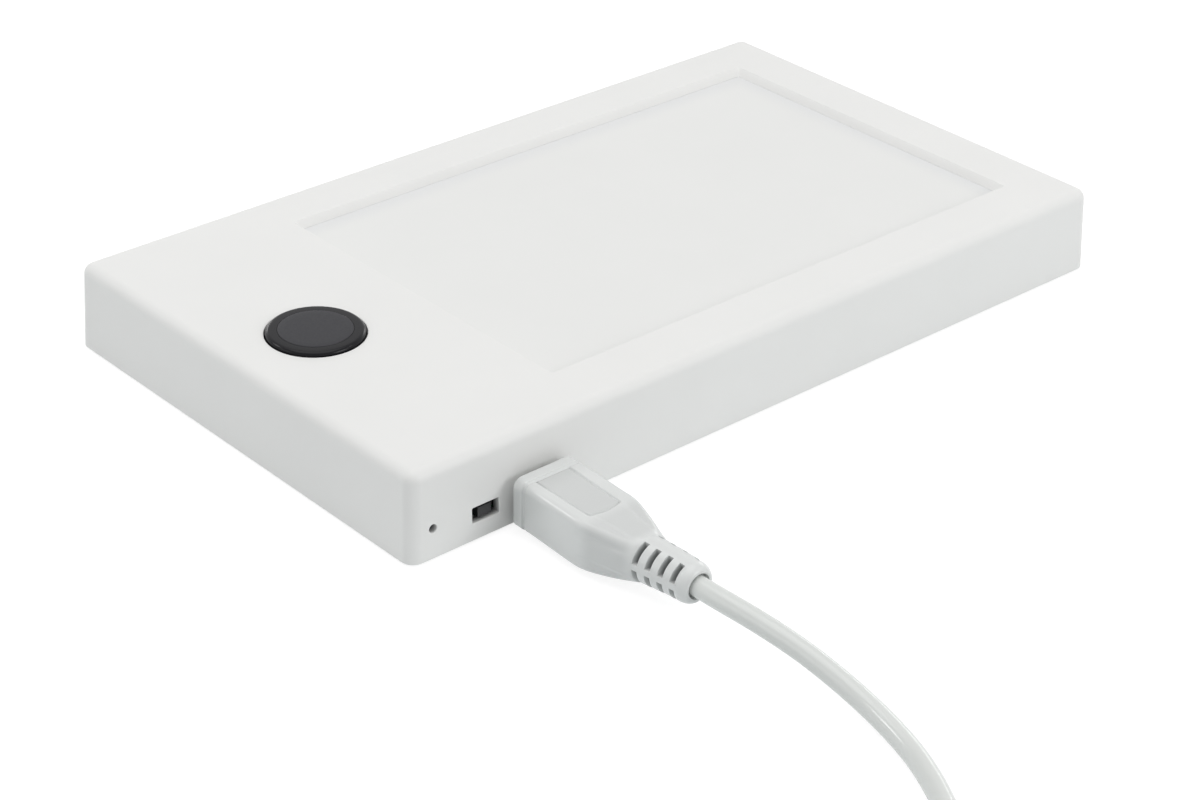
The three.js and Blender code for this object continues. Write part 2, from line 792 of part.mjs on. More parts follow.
function socketTongue() {
  const back = socketBack - socketWall - seatGap / 2;
  return block(
    socketX - tongueWidth / 2, socketX + tongueWidth / 2,
    back - tongueLength, back,
    socketHeight - tongueThickness / 2, socketHeight + tongueThickness / 2,
  );
}

// Battery pack under the tray, its tape and its two leads
const batteryLeft = boardRight + batteryLeadRoom;
const batteryRight = trayLeft + trayLength - batteryEndInset;
const batteryLength = batteryRight - batteryLeft;
const batteryMiddleX = (batteryLeft + batteryRight) / 2;
const headerRight = boardRight - headerEdgeGap;
const matingPlugLeft = headerRight - headerLength + headerWall + seatGap;
const headerSeat = partSeat;

function batteryCell() {
  const body = plate(batteryLength, batteryWidth, batteryCornerRadius, batteryUnderside, batteryTop, batteryMiddleX);
  const fold = block(
    batteryLeft - batteryFoldLength, batteryLeft + overrun,
    -batteryWidth / 2 + tapeMargin, batteryWidth / 2 - tapeMargin,
    batteryMiddle - batteryFoldThickness / 2, batteryMiddle + batteryFoldThickness / 2,
  );
  return build(body, [fold]);
}

function batteryTape() {
  return plate(
    batteryLength - 2 * tapeMargin, batteryWidth - 2 * tapeMargin, batteryCornerRadius,
    tapeTop - tapeThickness, tapeTop, batteryMiddleX,
  );
}

function batteryHeader() {
  const half = headerWidth / 2;
  const outer = block(headerRight - headerLength, headerRight, -half, half, headerSeat, headerSeat + headerHeight);
  const inner = block(
    headerRight - headerLength + headerWall, headerRight + overrun,
    headerWall - half, half - headerWall,
    headerSeat + headerWall, headerSeat + headerHeight - headerWall,
  );
  return build(outer, [], [inner]);
}

function batteryPlug() {
  const half = headerWidth / 2 - headerWall - seatGap;
  return block(
    matingPlugLeft, matingPlugLeft + matingPlugLength, -half, half,
    headerSeat + headerWall + seatGap, headerSeat + headerHeight - headerWall - seatGap,
  );
}

function batteryLead(side) {
  const y = side * leadSpacing / 2;
  const x0 = matingPlugLeft + matingPlugLength + softGap;
  const x1 = batteryLeft - batteryFoldLength - softGap;
  const z0 = headerSeat + headerHeight / 2;
  const middle = (x0 + x1) / 2;
  return wire([
    [x0, y, z0],
    [middle, y + side * leadRadius, (z0 + batteryMiddle) / 2],
    [x1, y, batteryMiddle],
  ], leadRadius, leadSides, leadSteps);
}

// Moulded grip of a plug, along -Y from its face: flange, straight part, taper to the strain relief.
const plugFace = frontWallAt(socketHeight) - plugFaceGap;
const gripEnd = gripStraight + gripTaper + flangeThickness;

// One ring of slots round the strain relief, a curved slot between each pair of spines.
function reliefSlots(distance) {
  const share = distance / reliefLength;
  const surface = reliefStartRadius + (reliefEndRadius - reliefStartRadius) * share;
  const inner = surface - reliefSlotDepth;
  const outer = reliefStartRadius + overrun;
  const far = -gripEnd - distance - reliefSlotWidth;
  const near = -gripEnd - distance;
  const profile = [[inner, far], [outer, far], [outer, near], [inner, near], [inner, far]];
  const ring = new THREE.LatheGeometry(profile.map(([radius, y]) => new THREE.Vector2(radius, y)), roundSides);
  const reach = outer + overrun;
  const half = reliefSpineWidth / 2;
  return build(ring, [], [
    block(-reach, reach, far - overrun, near + overrun, -half, half),
    block(-half, half, far - overrun, near + overrun, -reach, reach),
  ]);
}

// The bare panel sunk into the top of the grip, a little wider away from the lamp.
function gripPanel() {
  const near = -flangeThickness - gripPanelSetback;
  const far = near - gripPanelLength;
  const top = gripTallness / 2;
  const ring = (z) => [
    [gripPanelNarrow / 2, near, z],
    [-gripPanelNarrow / 2, near, z],
    [-gripPanelWide / 2, far, z],
    [gripPanelWide / 2, far, z],
  ];
  return loft([ring(top - gripPanelDepth), ring(top + overrun)]);
}

function plugGrip() {
  const reliefTip = reliefEndRadius - reliefEndRound;
  const rings = [
    crossRing(0, flangeWidth / 2, flangeTallness / 2, flangeCornerRadius),
    crossRing(-flangeThickness, flangeWidth / 2, flangeTallness / 2, flangeCornerRadius),
    crossRing(-flangeThickness, gripWidth / 2, gripTallness / 2, gripCornerRadius),
    crossRing(-flangeThickness - gripStraight, gripWidth / 2, gripTallness / 2, gripCornerRadius),
    crossRing(-gripEnd, reliefStartRadius, reliefStartRadius, reliefStartRadius),
    crossRing(-gripEnd - reliefLength + reliefEndRound, reliefEndRadius, reliefEndRadius, reliefEndRadius),
    crossRing(-gripEnd - reliefLength, reliefTip, reliefTip, reliefTip),
  ];
  const slots = [];
  for (let ring = 0; ring < reliefSlotRings; ring += 1) {
    slots.push(reliefSlots(reliefFirstSlot + ring * reliefPitch));
  }
  const pocket = connectorBar(
    plugShellWidth + 2 * seatGap, plugShellTallness + 2 * seatGap, plugShellChamfer,
    -plugShellRoot - seatGap, overrun,
  );
  return build(loft(rings), [], [gripPanel(), pocket, ...slots]);
}

function plugShell() {
  const outer = connectorBar(plugShellWidth, plugShellTallness, plugShellChamfer, -plugShellRoot, plugShellReach);
  const inner = connectorBar(
    plugShellWidth - 2 * plugShellWall, plugShellTallness - 2 * plugShellWall, plugShellChamfer - plugShellWall / 2,
    plugShellReach - plugShellHollow, plugShellReach + overrun,
  );
  return build(outer, [], [inner]);
}

// Route of the cord from the small plug to the coil, chosen by hand on the table beside the lamp
const cordRoute = [
  [-48.39, -75.2, 4.81],
  [-48.24, -78.6, 4.79],
  [-47.4, -84.9, 4.38],
  [-46.79, -91.9, 3.58],
  [-46.84, -99.4, 2.65],
  [-47.87, -107.6, 1.9],
  [-49.75, -114.6, 1.57],
  [-52.25, -120.2, 1.57],
  [-55.35, -125.6, 1.57],
  [-58.95, -131.4, 1.62],
  [-62.75, -137.4, 1.8],
  [-66.55, -143.4, 2.05],
];

// Coil: spirals in on the table, climbs where it turns back, and spirals out on top of itself
const coilLift = tieThickness + tieGap + cordRadius;
const coilTop = coilLift + coilRise;
const coilLoops = coilWholeLoops + (coilEntryDegrees - coilExitDegrees) / 360;

function coilPoint(loops) {
  const half = coilLoops / 2;
  const wound = loops < half ? loops : coilLoops - loops;
  const radius = coilOuterRadius - coilPitch * wound;
  const angle = THREE.MathUtils.degToRad(coilEntryDegrees) - loops * Math.PI * 2;
  const climb = THREE.MathUtils.smoothstep(loops, half - coilClimbLoops / 2, half + coilClimbLoops / 2);
  return new THREE.Vector3(
    coilCentreX + radius * Math.cos(angle),
    coilCentreY + radius * Math.sin(angle),
    coilLift + coilRise * climb,
  );
}

function coilHeading(degrees) {
  const angle = THREE.MathUtils.degToRad(degrees);
  return new THREE.Vector3(Math.sin(angle), -Math.cos(angle), 0);
}

function coilPoints() {
  const entry = coilHeading(coilEntryDegrees);
  const exit = coilHeading(coilExitDegrees);
  const steps = Math.round(coilLoops * coilStepsPerLoop);
  const points = [coilPoint(0).addScaledVector(entry, -cordDiameter)];
  for (let step = 0; step <= steps; step += 1) points.push(coilPoint(coilLoops * step / steps));
  points.push(coilPoint(coilLoops).addScaledVector(exit, cordDiameter));
  return points;
}

// A tube whose rings stand across its path, flat side up, joined into one closed body.
function woundTube(points, radius, sides) {
  const rings = points.map((point, place) => {
    const before = points[Math.max(place - 1, 0)];
    const after = points[Math.min(place + 1, points.length - 1)];
    const forward = after.clone().sub(before).normalize();
    const across = new THREE.Vector3(0, 0, 1).cross(forward).normalize();
    const upward = forward.clone().cross(across);
    const ring = [];
    for (let side = 0; side < sides; side += 1) {
      const angle = -(2 * side + 1) / sides * Math.PI;
      const place3 = point.clone();
      place3.addScaledVector(across, radius * Math.cos(angle)).addScaledVector(upward, -radius * Math.sin(angle));
      ring.push(place3.toArray());
    }
    return ring;
  });
  return loft(rings);
}

// The least gap between turns: the distance between points over a quarter loop apart, less the cord.
function leastGap(points) {
  let least = Infinity;
  for (let a = 0; a < points.length; a += 1) {
    for (let b = a + coilStepsPerLoop / 4; b < points.length; b += 1) {
      least = Math.min(least, points[a].distanceTo(points[b]));
    }
  }
  return least - cordDiameter;
}

const coilLine = coilPoints();
console.log("least gap between the turns of the coil: " + leastGap(coilLine).toFixed(2) + " mm");

function cordFree() {
  const end = coilLine[0].clone().addScaledVector(coilHeading(coilEntryDegrees), -softGap);
  const points = [...cordRoute, end.toArray()];
  let length = 0;
  for (let place = 1; place < points.length; place += 1) {
    length += new THREE.Vector3(...points[place]).distanceTo(new THREE.Vector3(...points[place - 1]));
  }
  return wire(points, cordRadius, cordSides, Math.round(length / (cordStepInDiameters * cordDiameter)));
}

// The far end of the coil, where the short tail to the large plug starts
const tailStart = coilLine[coilLine.length - 1];
const farAxis = farTableGap + farGripTallness / 2;
const tailEndX = tailStart.x - softGap - tailLength;

function cordTail() {
  const points = [];
  for (let step = 0; step <= tailSteps; step += 1) {
    const share = step / tailSteps;
    const drop = THREE.MathUtils.smoothstep(share, 0, 1) * (tailStart.z - farAxis);
    points.push([tailStart.x - softGap - tailLength * share, tailStart.y, tailStart.z - drop]);
  }
  return wire(points, cordRadius, cordSides, tailSteps);
}

// A flat band round the coil's section, standing across its turns
function cordTie() {
  const inner = coilOuterRadius - coilPitch * coilLoops / 2 - cordRadius;
  const nearest = Math.sqrt(inner * inner - tieWidth * tieWidth / 4) - 2 * tieGap;
  const farthest = coilOuterRadius + cordRadius + 2 * tieGap;
  const low = tieThickness;
  const high = coilTop + cordRadius + tieGap;
  const outer = block(
    nearest - tieThickness, farthest + tieThickness, -tieWidth / 2, tieWidth / 2, 0, high + tieThickness,
  );
  return build(outer, [], [block(nearest, farthest, -tieWidth, tieWidth, low, high)]);
}

// Large plug, along -Y from the end of the cord, before its group turns it towards -X
function farGrip() {
  const grip = farReliefLength + farGripTaper;
  const rings = [
    crossRing(0, farReliefEndRadius, farReliefEndRadius, farReliefEndRadius),
    crossRing(-farReliefLength, farReliefRadius, farReliefRadius, farReliefRadius),
    crossRing(-grip, farGripWidth / 2, farGripTallness / 2, farGripCornerRadius),
    crossRing(-grip - farGripLength, farGripWidth / 2, farGripTallness / 2, farGripCornerRadius),
  ];
  const face = -grip - farGripLength;
  const pocket = crossRingBar(
    farShellWidth + 2 * seatGap, farShellTallness + 2 * seatGap, farShellCornerRadius,
    face - overrun, face + farShellRoot + seatGap,
  );
  return build(loft(rings), [], [pocket]);
}

function crossRingBar(width, tallness, radius, y0, y1) {
  return loft([crossRing(y1, width / 2, tallness / 2, radius), crossRing(y0, width / 2, tallness / 2, radius)]);
}

function farShell() {
  const face = -farReliefLength - farGripTaper - farGripLength;
  const outer = crossRingBar(farShellWidth, farShellTallness, farShellCornerRadius, face - farShellLength, face + farShellRoot);
  const inner = crossRingBar(
    farShellWidth - 2 * farShellWall, farShellTallness - 2 * farShellWall, farShellCornerRadius / 2,
    face - farShellLength - overrun, face - farShellLength + farShellHollow,
  );
  return build(outer, [], [inner]);
}

function farTongue() {
  const tip = -farReliefLength - farGripTaper - farGripLength - farShellLength;
  const back = tip + farShellHollow - seatGap;
  const top = farShellTallness / 2 - farShellWall - seatGap;
  return block(-farTongueWidth / 2, farTongueWidth / 2, back - farTongueLength, back, top - farTongueThickness, top);
}

// The lamp, put together from the window down
addPiece("top_housing", topHousing(), whitePlastic);
addPiece(
  "diffuser_plate",
  plate(trayLength, trayWidth, windowCornerRadius, diffuserUnderside, diffuserTop, windowMiddle),
  opalPlastic,
);
addPiece(
  "prism_film",
  plate(guideLength, 2 * guideHalfWidth, windowCornerRadius, filmTop - filmThickness, filmTop, windowMiddle),
  filmPlastic,
);
addPiece(
  "light_guide",
  plate(guideLength, 2 * guideHalfWidth, windowCornerRadius, guideUnderside, guideTop, windowMiddle),
  clearPlastic,
);
addPiece(
  "reflector_sheet",
  plate(guideLength, 2 * guideHalfWidth, windowCornerRadius, reflectorTop - reflectorThickness, reflectorTop, windowMiddle),
  reflectorPlastic,
);
addPiece("optics_tray", trayBody(), reflectorPlastic);
addPiece("led_strip_back", ledStrip(1), boardWhite);
addPiece("led_strip_front", ledStrip(-1), boardWhite);
addPiece("led_lead_back", ledLead(1), redWire);
addPiece("led_lead_front", ledLead(-1), redWire);

addPiece("main_board", mainBoard(), boardGreen);
addPiece("battery_header", batteryHeader(), boardWhite);
addPiece("battery_plug", batteryPlug(), boardWhite);
addPiece("battery_lead_red", batteryLead(1), redWire);
addPiece("battery_lead_black", batteryLead(-1), blackWire);
addPiece("battery_cell", batteryCell(), batteryFoil);
addPiece("battery_tape", batteryTape(), foam);
addPiece(
  "control_chip",
  block(
    buttonX - chipLength / 2, buttonX + chipLength / 2,
    chipAcross - chipWidth / 2, chipAcross + chipWidth / 2,
    partSeat, partSeat + chipHeight,
  ),
  mattBlack,
);
addPiece(
  "driver_coil",
  plate(coilLength, coilLength, coilLength / 4, partSeat, partSeat + coilHeight, buttonX, -coilAcross),
  mattBlack,
);
addPiece("usb_socket_shell", socketShell(), steel);
addPiece("usb_socket_tongue", socketTongue(), mattBlack);
addPiece("slide_switch_body", switchBody(), mattBlack);
addPiece("slide_switch_lever", switchLever(), mattBlack);
addPiece("tact_switch_body", tactBody(), mattBlack);
addPiece("tact_switch_plunger", tactPlunger(), mattBlack);
addPiece("status_led", statusLed(), boardWhite);
addPiece("light_pipe", lightPipe(), clearPlastic);
addPiece("button_cap", buttonCap(), glossBlack);
addPiece("button_inset", buttonInset(), satinGrey);

addPiece("bottom_cover", bottomCover(), whitePlastic);
coverScrews.forEach(([x, y], place) => {
  const piece = addPiece("cover_screw_" + (place + 1), screw(screwShankLength), steel);
  piece.position.set(x, y, bottomHeight + counterboreDepth - seatGap - screwHeadHeight);
});
boardScrews.forEach(([x, y], place) => {
  const piece = addPiece("board_screw_" + (place + 1), screw(boardScrewShankLength), steel);
  piece.position.set(x, y, boardUnderside - seatGap - screwHeadHeight);
});
feet.forEach(([x, y], place) => {
  addPiece("foot_" + (place + 1), build(post(footRadius, x, y, 0, footThickness)), greyRubber);
});

// The cord and its plugs
const smallPlug = new THREE.Group();
smallPlug.position.set(socketX, plugFace, socketHeight);
lamp.add(smallPlug);
addPiece("micro_plug_shell", plugShell(), steel, smallPlug);
addPiece("micro_plug_grip", plugGrip(), cordPlastic, smallPlug);
addPiece("cord_free", cordFree(), cordPlastic);
addPiece("cord_coil", geometryFrom(solidFrom(woundTube(coilLine, cordRadius, coilSides))), cordPlastic);
addPiece("cord_tail", cordTail(), cordPlastic);

const tieGroup = new THREE.Group();
tieGroup.position.set(coilCentreX, coilCentreY, 0);
tieGroup.rotation.z = THREE.MathUtils.degToRad(tieDegrees);
lamp.add(tieGroup);
addPiece("cord_tie", cordTie(), mattBlack, tieGroup);

const largePlug = new THREE.Group();
largePlug.position.set(tailEndX - softGap, tailStart.y, farAxis);
largePlug.rotation.z = -Math.PI / 2;
lamp.add(largePlug);
addPiece("usb_a_grip", farGrip(), cordPlastic, largePlug);
addPiece("usb_a_shell", farShell(), steel, largePlug);
addPiece("usb_a_tongue", farTongue(), boardWhite, largePlug);

export default lamp;
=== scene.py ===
import math

import bmesh
import bpy
import numpy as np
from mathutils import Matrix


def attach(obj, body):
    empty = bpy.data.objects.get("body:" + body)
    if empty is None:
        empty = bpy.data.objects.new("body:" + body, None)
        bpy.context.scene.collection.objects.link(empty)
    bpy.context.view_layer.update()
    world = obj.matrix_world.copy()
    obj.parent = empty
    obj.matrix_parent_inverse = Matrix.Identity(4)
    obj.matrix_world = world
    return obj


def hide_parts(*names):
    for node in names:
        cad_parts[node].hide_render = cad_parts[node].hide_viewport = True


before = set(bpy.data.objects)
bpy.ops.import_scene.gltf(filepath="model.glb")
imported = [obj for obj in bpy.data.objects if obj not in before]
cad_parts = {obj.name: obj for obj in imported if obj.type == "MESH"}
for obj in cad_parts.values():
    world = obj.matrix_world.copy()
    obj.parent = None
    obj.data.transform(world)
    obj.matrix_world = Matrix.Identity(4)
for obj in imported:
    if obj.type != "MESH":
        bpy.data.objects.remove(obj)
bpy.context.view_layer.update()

# Camera. A long lens looks down at the near left corner of the lamp from beside its button end,
# tipped by a little more than a degree. Its place and turn are worked out from the case's edges.
camera_place = (-0.267471, -0.295065, 0.212882)
camera_azimuth = -0.7376
camera_elevation = 0.5243
camera_roll = 0.0238
camera_data = bpy.data.cameras.new("camera")
camera_data.sensor_width = 36
camera_data.lens = 84.456
camera = bpy.data.objects.new("camera", camera_data)
bpy.context.scene.collection.objects.link(camera)
bpy.context.scene.camera = camera
camera_right = np.array([math.cos(camera_azimuth), math.sin(camera_azimuth), 0])
camera_back = np.array([
    math.sin(camera_azimuth) * math.cos(camera_elevation),
    -math.cos(camera_azimuth) * math.cos(camera_elevation),
    math.sin(camera_elevation),
])
camera_up = np.cross(camera_back, camera_right)
turned_right = math.cos(camera_roll) * camera_right + math.sin(camera_roll) * camera_up
turned_up = math.cos(camera_roll) * camera_up - math.sin(camera_roll) * camera_right
camera_axes = np.column_stack([turned_right, turned_up, camera_back, camera_place])
camera.matrix_world = Matrix([*camera_axes.tolist(), [0, 0, 0, 1]])

# Charging cord. Two thin wires in a round sheath of soft glossy light grey vinyl, one metre long: it leaves
# the small plug's strain relief, sinks to the table and runs out to the coil that its spare length is wound
# in.
MM = 0.001
socket_place = (-48.39, -42.593, 4.807)
cord_diameter = 3.1
cord_route = [
    (-48.15, -72.9, 4.81),
    (-48.15, -74.9, 4.81),
    (-48.03, -78.6, 4.79),
    (-47.4, -84.9, 4.38),
    (-46.79, -91.9, 3.58),
    (-46.84, -99.4, 2.65),
    (-47.87, -107.6, 1.9),
    (-49.75, -114.6, 1.57),
    (-52.25, -120.2, 1.57),
    (-55.35, -125.6, 1.57),
    (-58.95, -131.4, 1.62),
    (-62.75, -137.4, 1.8),
    (-66.55, -143.4, 2.05),
]
coil_centre = (-93.55, -139.8)
coil_radius = 25
coil_pitch = cord_diameter + 0.5
coil_lift = 2.2
coil_entry_degrees = -34
coil_entry = math.radians(coil_entry_degrees)
coil_loops = 8 + (coil_entry_degrees + 90) / 360
coil_stations = 196
tail_lead = 3.4
tail_length = 19.3
tail_steps = 6
far_plug_height = 4.1
cord_step = 1.1
cord_sides = 28


def smooth_step(share):
    """Eases from 0 to 1: three squares less two cubes of the share, held between 0 and 1."""
    held = np.clip(share, 0, 1)
    return held * held * (3 - 2 * held)


def coil_line():
    """Centreline of the coil: an angle that turns clockwise while the radius shrinks by one pitch a loop to
    the middle of the cord and grows again, the height easing up one layer in the half loop where it turns
    back."""
    loops = np.linspace(0, coil_loops, coil_stations)
    wound = np.minimum(loops, coil_loops - loops)
    radius = coil_radius - coil_pitch * wound
    angle = coil_entry - loops * 2 * math.pi
    climb = smooth_step((loops - coil_loops / 2) * 2 + 0.5)
    return np.column_stack([
        coil_centre[0] + radius * np.cos(angle),
        coil_centre[1] + radius * np.sin(angle),
        coil_lift + coil_pitch * climb,
    ])


def tail_line(start):
    """Centreline of the last stretch: straight along -X while the height eases down to the large plug's
    axis."""
    share = np.linspace(0, 1, tail_steps + 1)[1:]
    drop = (start[2] - far_plug_height) * smooth_step(share)
    x = start[0] - tail_lead - tail_length * share
    return np.column_stack([x, np.full(tail_steps, start[1]), start[2] - drop])


def smooth_line(points, spacing):
    """Cubic through the points, cut into equal steps: knots lie the square root of a distance apart, and
    the slope at each knot is the mean of its two chords' slopes, each weighted by the other chord's knot
    gap."""
    points = np.array(points, float)
    gap = np.linalg.norm(np.diff(points, axis=0), axis=1)[:, None] ** 0.5
    chord = np.diff(points, axis=0) / gap
    middle = (chord[:-1] * gap[1:] + chord[1:] * gap[:-1]) / (gap[:-1] + gap[1:])
    slope = np.vstack([chord[:1], middle, chord[-1:]])
    cuts = 12
    t = (np.arange(cuts) / cuts)[:, None, None]
    near, far = points[:-1], points[1:]
    curve = (
        (2 * t**3 - 3 * t**2 + 1) * near
        + (t**3 - 2 * t**2 + t) * gap * slope[:-1]
        + (3 * t**2 - 2 * t**3) * far
        + (t**3 - t**2) * gap * slope[1:]
    )
    dense = np.vstack([curve.transpose(1, 0, 2).reshape(-1, 3), points[-1:]])
    walked = np.concatenate([[0], np.cumsum(np.linalg.norm(np.diff(dense, axis=0), axis=1))])
    places = np.linspace(0, walked[-1], int(walked[-1] / spacing) + 1)
    return np.column_stack([np.interp(places, walked, dense[:, axis]) for axis in range(3)])


def tube_rings(line, radius, sides):
    """Rings of a round tube: at each point a circle in the plane of the upward and sideways directions that
    stand square to the line's own direction."""
    forward = np.gradient(line, axis=0)
    forward /= np.linalg.norm(forward, axis=1)[:, None]
    across = np.cross([0, 0, 1], forward)
    across /= np.linalg.norm(across, axis=1)[:, None]
    upward = np.cross(forward, across)
    angle = np.arange(sides) / sides * 2 * math.pi
    return line[:, None] + radius * (
        np.cos(angle)[None, :, None] * across[:, None] + np.sin(angle)[None, :, None] * upward[:, None]
    )


def ring_faces(rows, columns, closed=False):
    """Squares between neighbouring rings of equal counts, with a lid on the first and last ring unless the
    rings close on themselves."""
    gaps = rows if closed else rows - 1
    row, column = np.meshgrid(np.arange(gaps), np.arange(columns), indexing="ij")
    beside = (column + 1) % columns
    above = (row + 1) % rows
    squares = np.stack([
        row * columns + column,
        row * columns + beside,
        above * columns + beside,
        above * columns + column,
    ], axis=-1).reshape(-1, 4)
    faces = squares.tolist()
    if not closed:
        faces.append(list(range(columns - 1, -1, -1)))
        faces.append(list(range((rows - 1) * columns, rows * columns)))
    return faces


def mesh_piece(name, parts, crease=32):
    """A mesh object in the row frame from (points in millimetres, faces) parts. Faces are turned to point
    out, shaded smooth, and edges sharper than the crease angle in degrees stay sharp."""
    points, faces, count = [], [], 0
    for part_points, part_faces in parts:
        flat = np.asarray(part_points, float).reshape(-1, 3)
        points.append(flat)
        faces.extend([[corner + count for corner in face] for face in part_faces])
        count += len(flat)
    mesh = bpy.data.meshes.new(name)
    mesh.from_pydata((np.vstack(points) * MM).tolist(), [], faces)
    finish_mesh(mesh, crease)
    piece = bpy.data.objects.new(name, mesh)
    bpy.context.scene.collection.objects.link(piece)
    return piece


def finish_mesh(mesh, crease):
    """Turns the faces outwards and marks the edges that stay sharp."""
    work = bmesh.new()
    work.from_mesh(mesh)
    bmesh.ops.recalc_face_normals(work, faces=work.faces)
    work.to_mesh(mesh)
    work.free()
    mesh.shade_smooth()
    mesh.set_sharp_from_angle(angle=math.radians(crease))


def moulded_group():
    """Node group for moulded plastic, rubber and paint: slow clouds mix two close colours and two
    roughnesses, and a fine grain with a slow swell gives the height. Sizes are counts to the metre of
    object space."""
    group = bpy.data.node_groups.new("moulded surface", "ShaderNodeTree")
    for label, kind, value in [
        ("Colour", "NodeSocketColor", (0.8, 0.8, 0.8, 1)),
        ("Cloud Colour", "NodeSocketColor", (0.75, 0.75, 0.75, 1)),
        ("Low Roughness", "NodeSocketFloat", 0.3),
        ("High Roughness", "NodeSocketFloat", 0.5),
        ("Cloud Scale", "NodeSocketFloat", 60.0),
        ("Grain Scale", "NodeSocketFloat", 4000.0),
    ]:
        socket = group.interface.new_socket(label, in_out="INPUT", socket_type=kind)
        socket.default_value = value
    group.interface.new_socket("Colour", in_out="OUTPUT", socket_type="NodeSocketColor")
    group.interface.new_socket("Roughness", in_out="OUTPUT", socket_type="NodeSocketFloat")
    group.interface.new_socket("Height", in_out="OUTPUT", socket_type="NodeSocketFloat")
    nodes, links = group.nodes, group.links
    entry = nodes.new("NodeGroupInput")
    leave = nodes.new("NodeGroupOutput")
    place = nodes.new("ShaderNodeTexCoord")
    cloud = nodes.new("ShaderNodeTexNoise")
    cloud.inputs["Detail"].default_value = 3
    grain = nodes.new("ShaderNodeTexNoise")
    grain.inputs["Detail"].default_value = 4
    colour = nodes.new("ShaderNodeMix")
    colour.data_type = "RGBA"
    spread = nodes.new("ShaderNodeMapRange")
    spread.inputs["From Min"].default_value = 0.3
    spread.inputs["From Max"].default_value = 0.7
    rough = nodes.new("ShaderNodeMapRange")
    for texture, label in ((cloud, "Cloud Scale"), (grain, "Grain Scale")):
        links.new(place.outputs["Object"], texture.inputs["Vector"])
        links.new(entry.outputs[label], texture.inputs["Scale"])
    links.new(cloud.outputs["Fac"], spread.inputs["Value"])
    links.new(spread.outputs["Result"], colour.inputs["Factor"])
    links.new(entry.outputs["Colour"], colour.inputs["A"])
    links.new(entry.outputs["Cloud Colour"], colour.inputs["B"])
    links.new(grain.outputs["Fac"], rough.inputs["Value"])
    links.new(entry.outputs["Low Roughness"], rough.inputs["To Min"])
    links.new(entry.outputs["High Roughness"], rough.inputs["To Max"])
    links.new(colour.outputs["Result"], leave.inputs["Colour"])
    links.new(rough.outputs["Result"], leave.inputs["Roughness"])
    links.new(grain.outputs["Fac"], leave.inputs["Height"])
    return group


def moulded_material(
        name, colour, cloud, rough, grain=4000, relief=0.02, depth=0.00002, metal=0, **sockets):
    """A Principled material fed by the moulded surface group, with a Bump of the given relief and depth.
    Other keywords are constants set on the shader's own sockets."""
    group = bpy.data.node_groups.get("moulded surface") or moulded_group()
    material = bpy.data.materials.new(name)
    material.use_nodes = True
    nodes, links = material.node_tree.nodes, material.node_tree.links
    shader = nodes["Principled BSDF"]
    surface = nodes.new("ShaderNodeGroup")
    surface.node_tree = group
    surface.inputs["Colour"].default_value = (*colour, 1)
    surface.inputs["Cloud Colour"].default_value = (*cloud, 1)
    surface.inputs["Low Roughness"].default_value = rough[0]
    surface.inputs["High Roughness"].default_value = rough[1]
    surface.inputs["Grain Scale"].default_value = grain
    bump = nodes.new("ShaderNodeBump")
    bump.inputs["Strength"].default_value = relief
    bump.inputs["Distance"].default_value = depth
    links.new(surface.outputs["Height"], bump.inputs["Height"])
    links.new(surface.outputs["Colour"], shader.inputs["Base Color"])
    links.new(surface.outputs["Roughness"], shader.inputs["Roughness"])
    links.new(bump.outputs["Normal"], shader.inputs["Normal"])
    shader.inputs["Metallic"].default_value = metal
    for label, value in sockets.items():
        shader.inputs[label.replace("_", " ")].default_value = value
    return material


def place_piece(piece, material, body, slot, *nodes):
    """Gives a finished piece its material and its body, and hides the nodes it stands for. The slot is not
    used.
    """
    piece.data.materials.append(material)
    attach(piece, body)
    if nodes:
        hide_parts(*nodes)


sheath_vinyl = moulded_material(
    "glossy light grey vinyl", (0.715, 0.735, 0.715), (0.69, 0.71, 0.69), (0.14, 0.20),
    grain=1500, relief=0.05)
coil_points = coil_line()
entry_heading = np.array([math.sin(coil_entry), -math.cos(coil_entry), 0])
cord_points = np.vstack([
    cord_route,
    coil_points[0] - entry_heading * cord_diameter,
    coil_points,
    coil_points[-1] + np.array([-cord_diameter, 0, 0]),
    tail_line(coil_points[-1]),
])
cord_path = smooth_line(cord_points, cord_step)
cord_rings = tube_rings(cord_path, cord_diameter / 2, cord_sides)
cord = mesh_piece("charging_cord", [(cord_rings, ring_faces(len(cord_rings), cord_sides))], crease=60)
place_piece(cord, sheath_vinyl, "charging_cord", "cord_plastic", "cord_free", "cord_coil", "cord_tail")

# Case. One moulding in satin white ABS: walls that lean out a little towards the table, a rounded upper edge,
# and a face with a large window and a round hole. The cover closes it from below.
face_length = 140.7
face_width = 81.4
case_top = 14.6
case_foot = 0.5
wall_lean = math.radians(2.3)
wall_thickness = 1.4
skin_thickness = 1
diffuser_top = 13.52
edge_radius = 1.8
corner_radius = 2
inner_corner = 1.2
rim_radius = 0.15
window_length = 97.3
window_width = 62.2
window_middle = 11.66
window_corner = 0.5
window_lip = 0.3
window_slope = math.radians(42)
bevel_foot_corner = 0.05
button_x = -55.8
cutter_overrun = 1


def rounded_loop(half_x, half_y, radius, middle_x, height, turns=10):
    """Points round a rounded rectangle: a quarter circle of equal steps at each corner, in turn."""
    step = np.arange(turns + 1) / turns
    quarter = np.arange(4)[:, None]
    angle = (quarter + step) * math.pi / 2
    side_x = np.array([1, -1, -1, 1])[:, None]
    side_y = np.array([1, 1, -1, -1])[:, None]
    x = middle_x + side_x * (half_x - radius) + radius * np.cos(angle)
    y = side_y * (half_y - radius) + radius * np.sin(angle)
    return np.column_stack([x.ravel(), y.ravel(), np.full(x.size, height)])


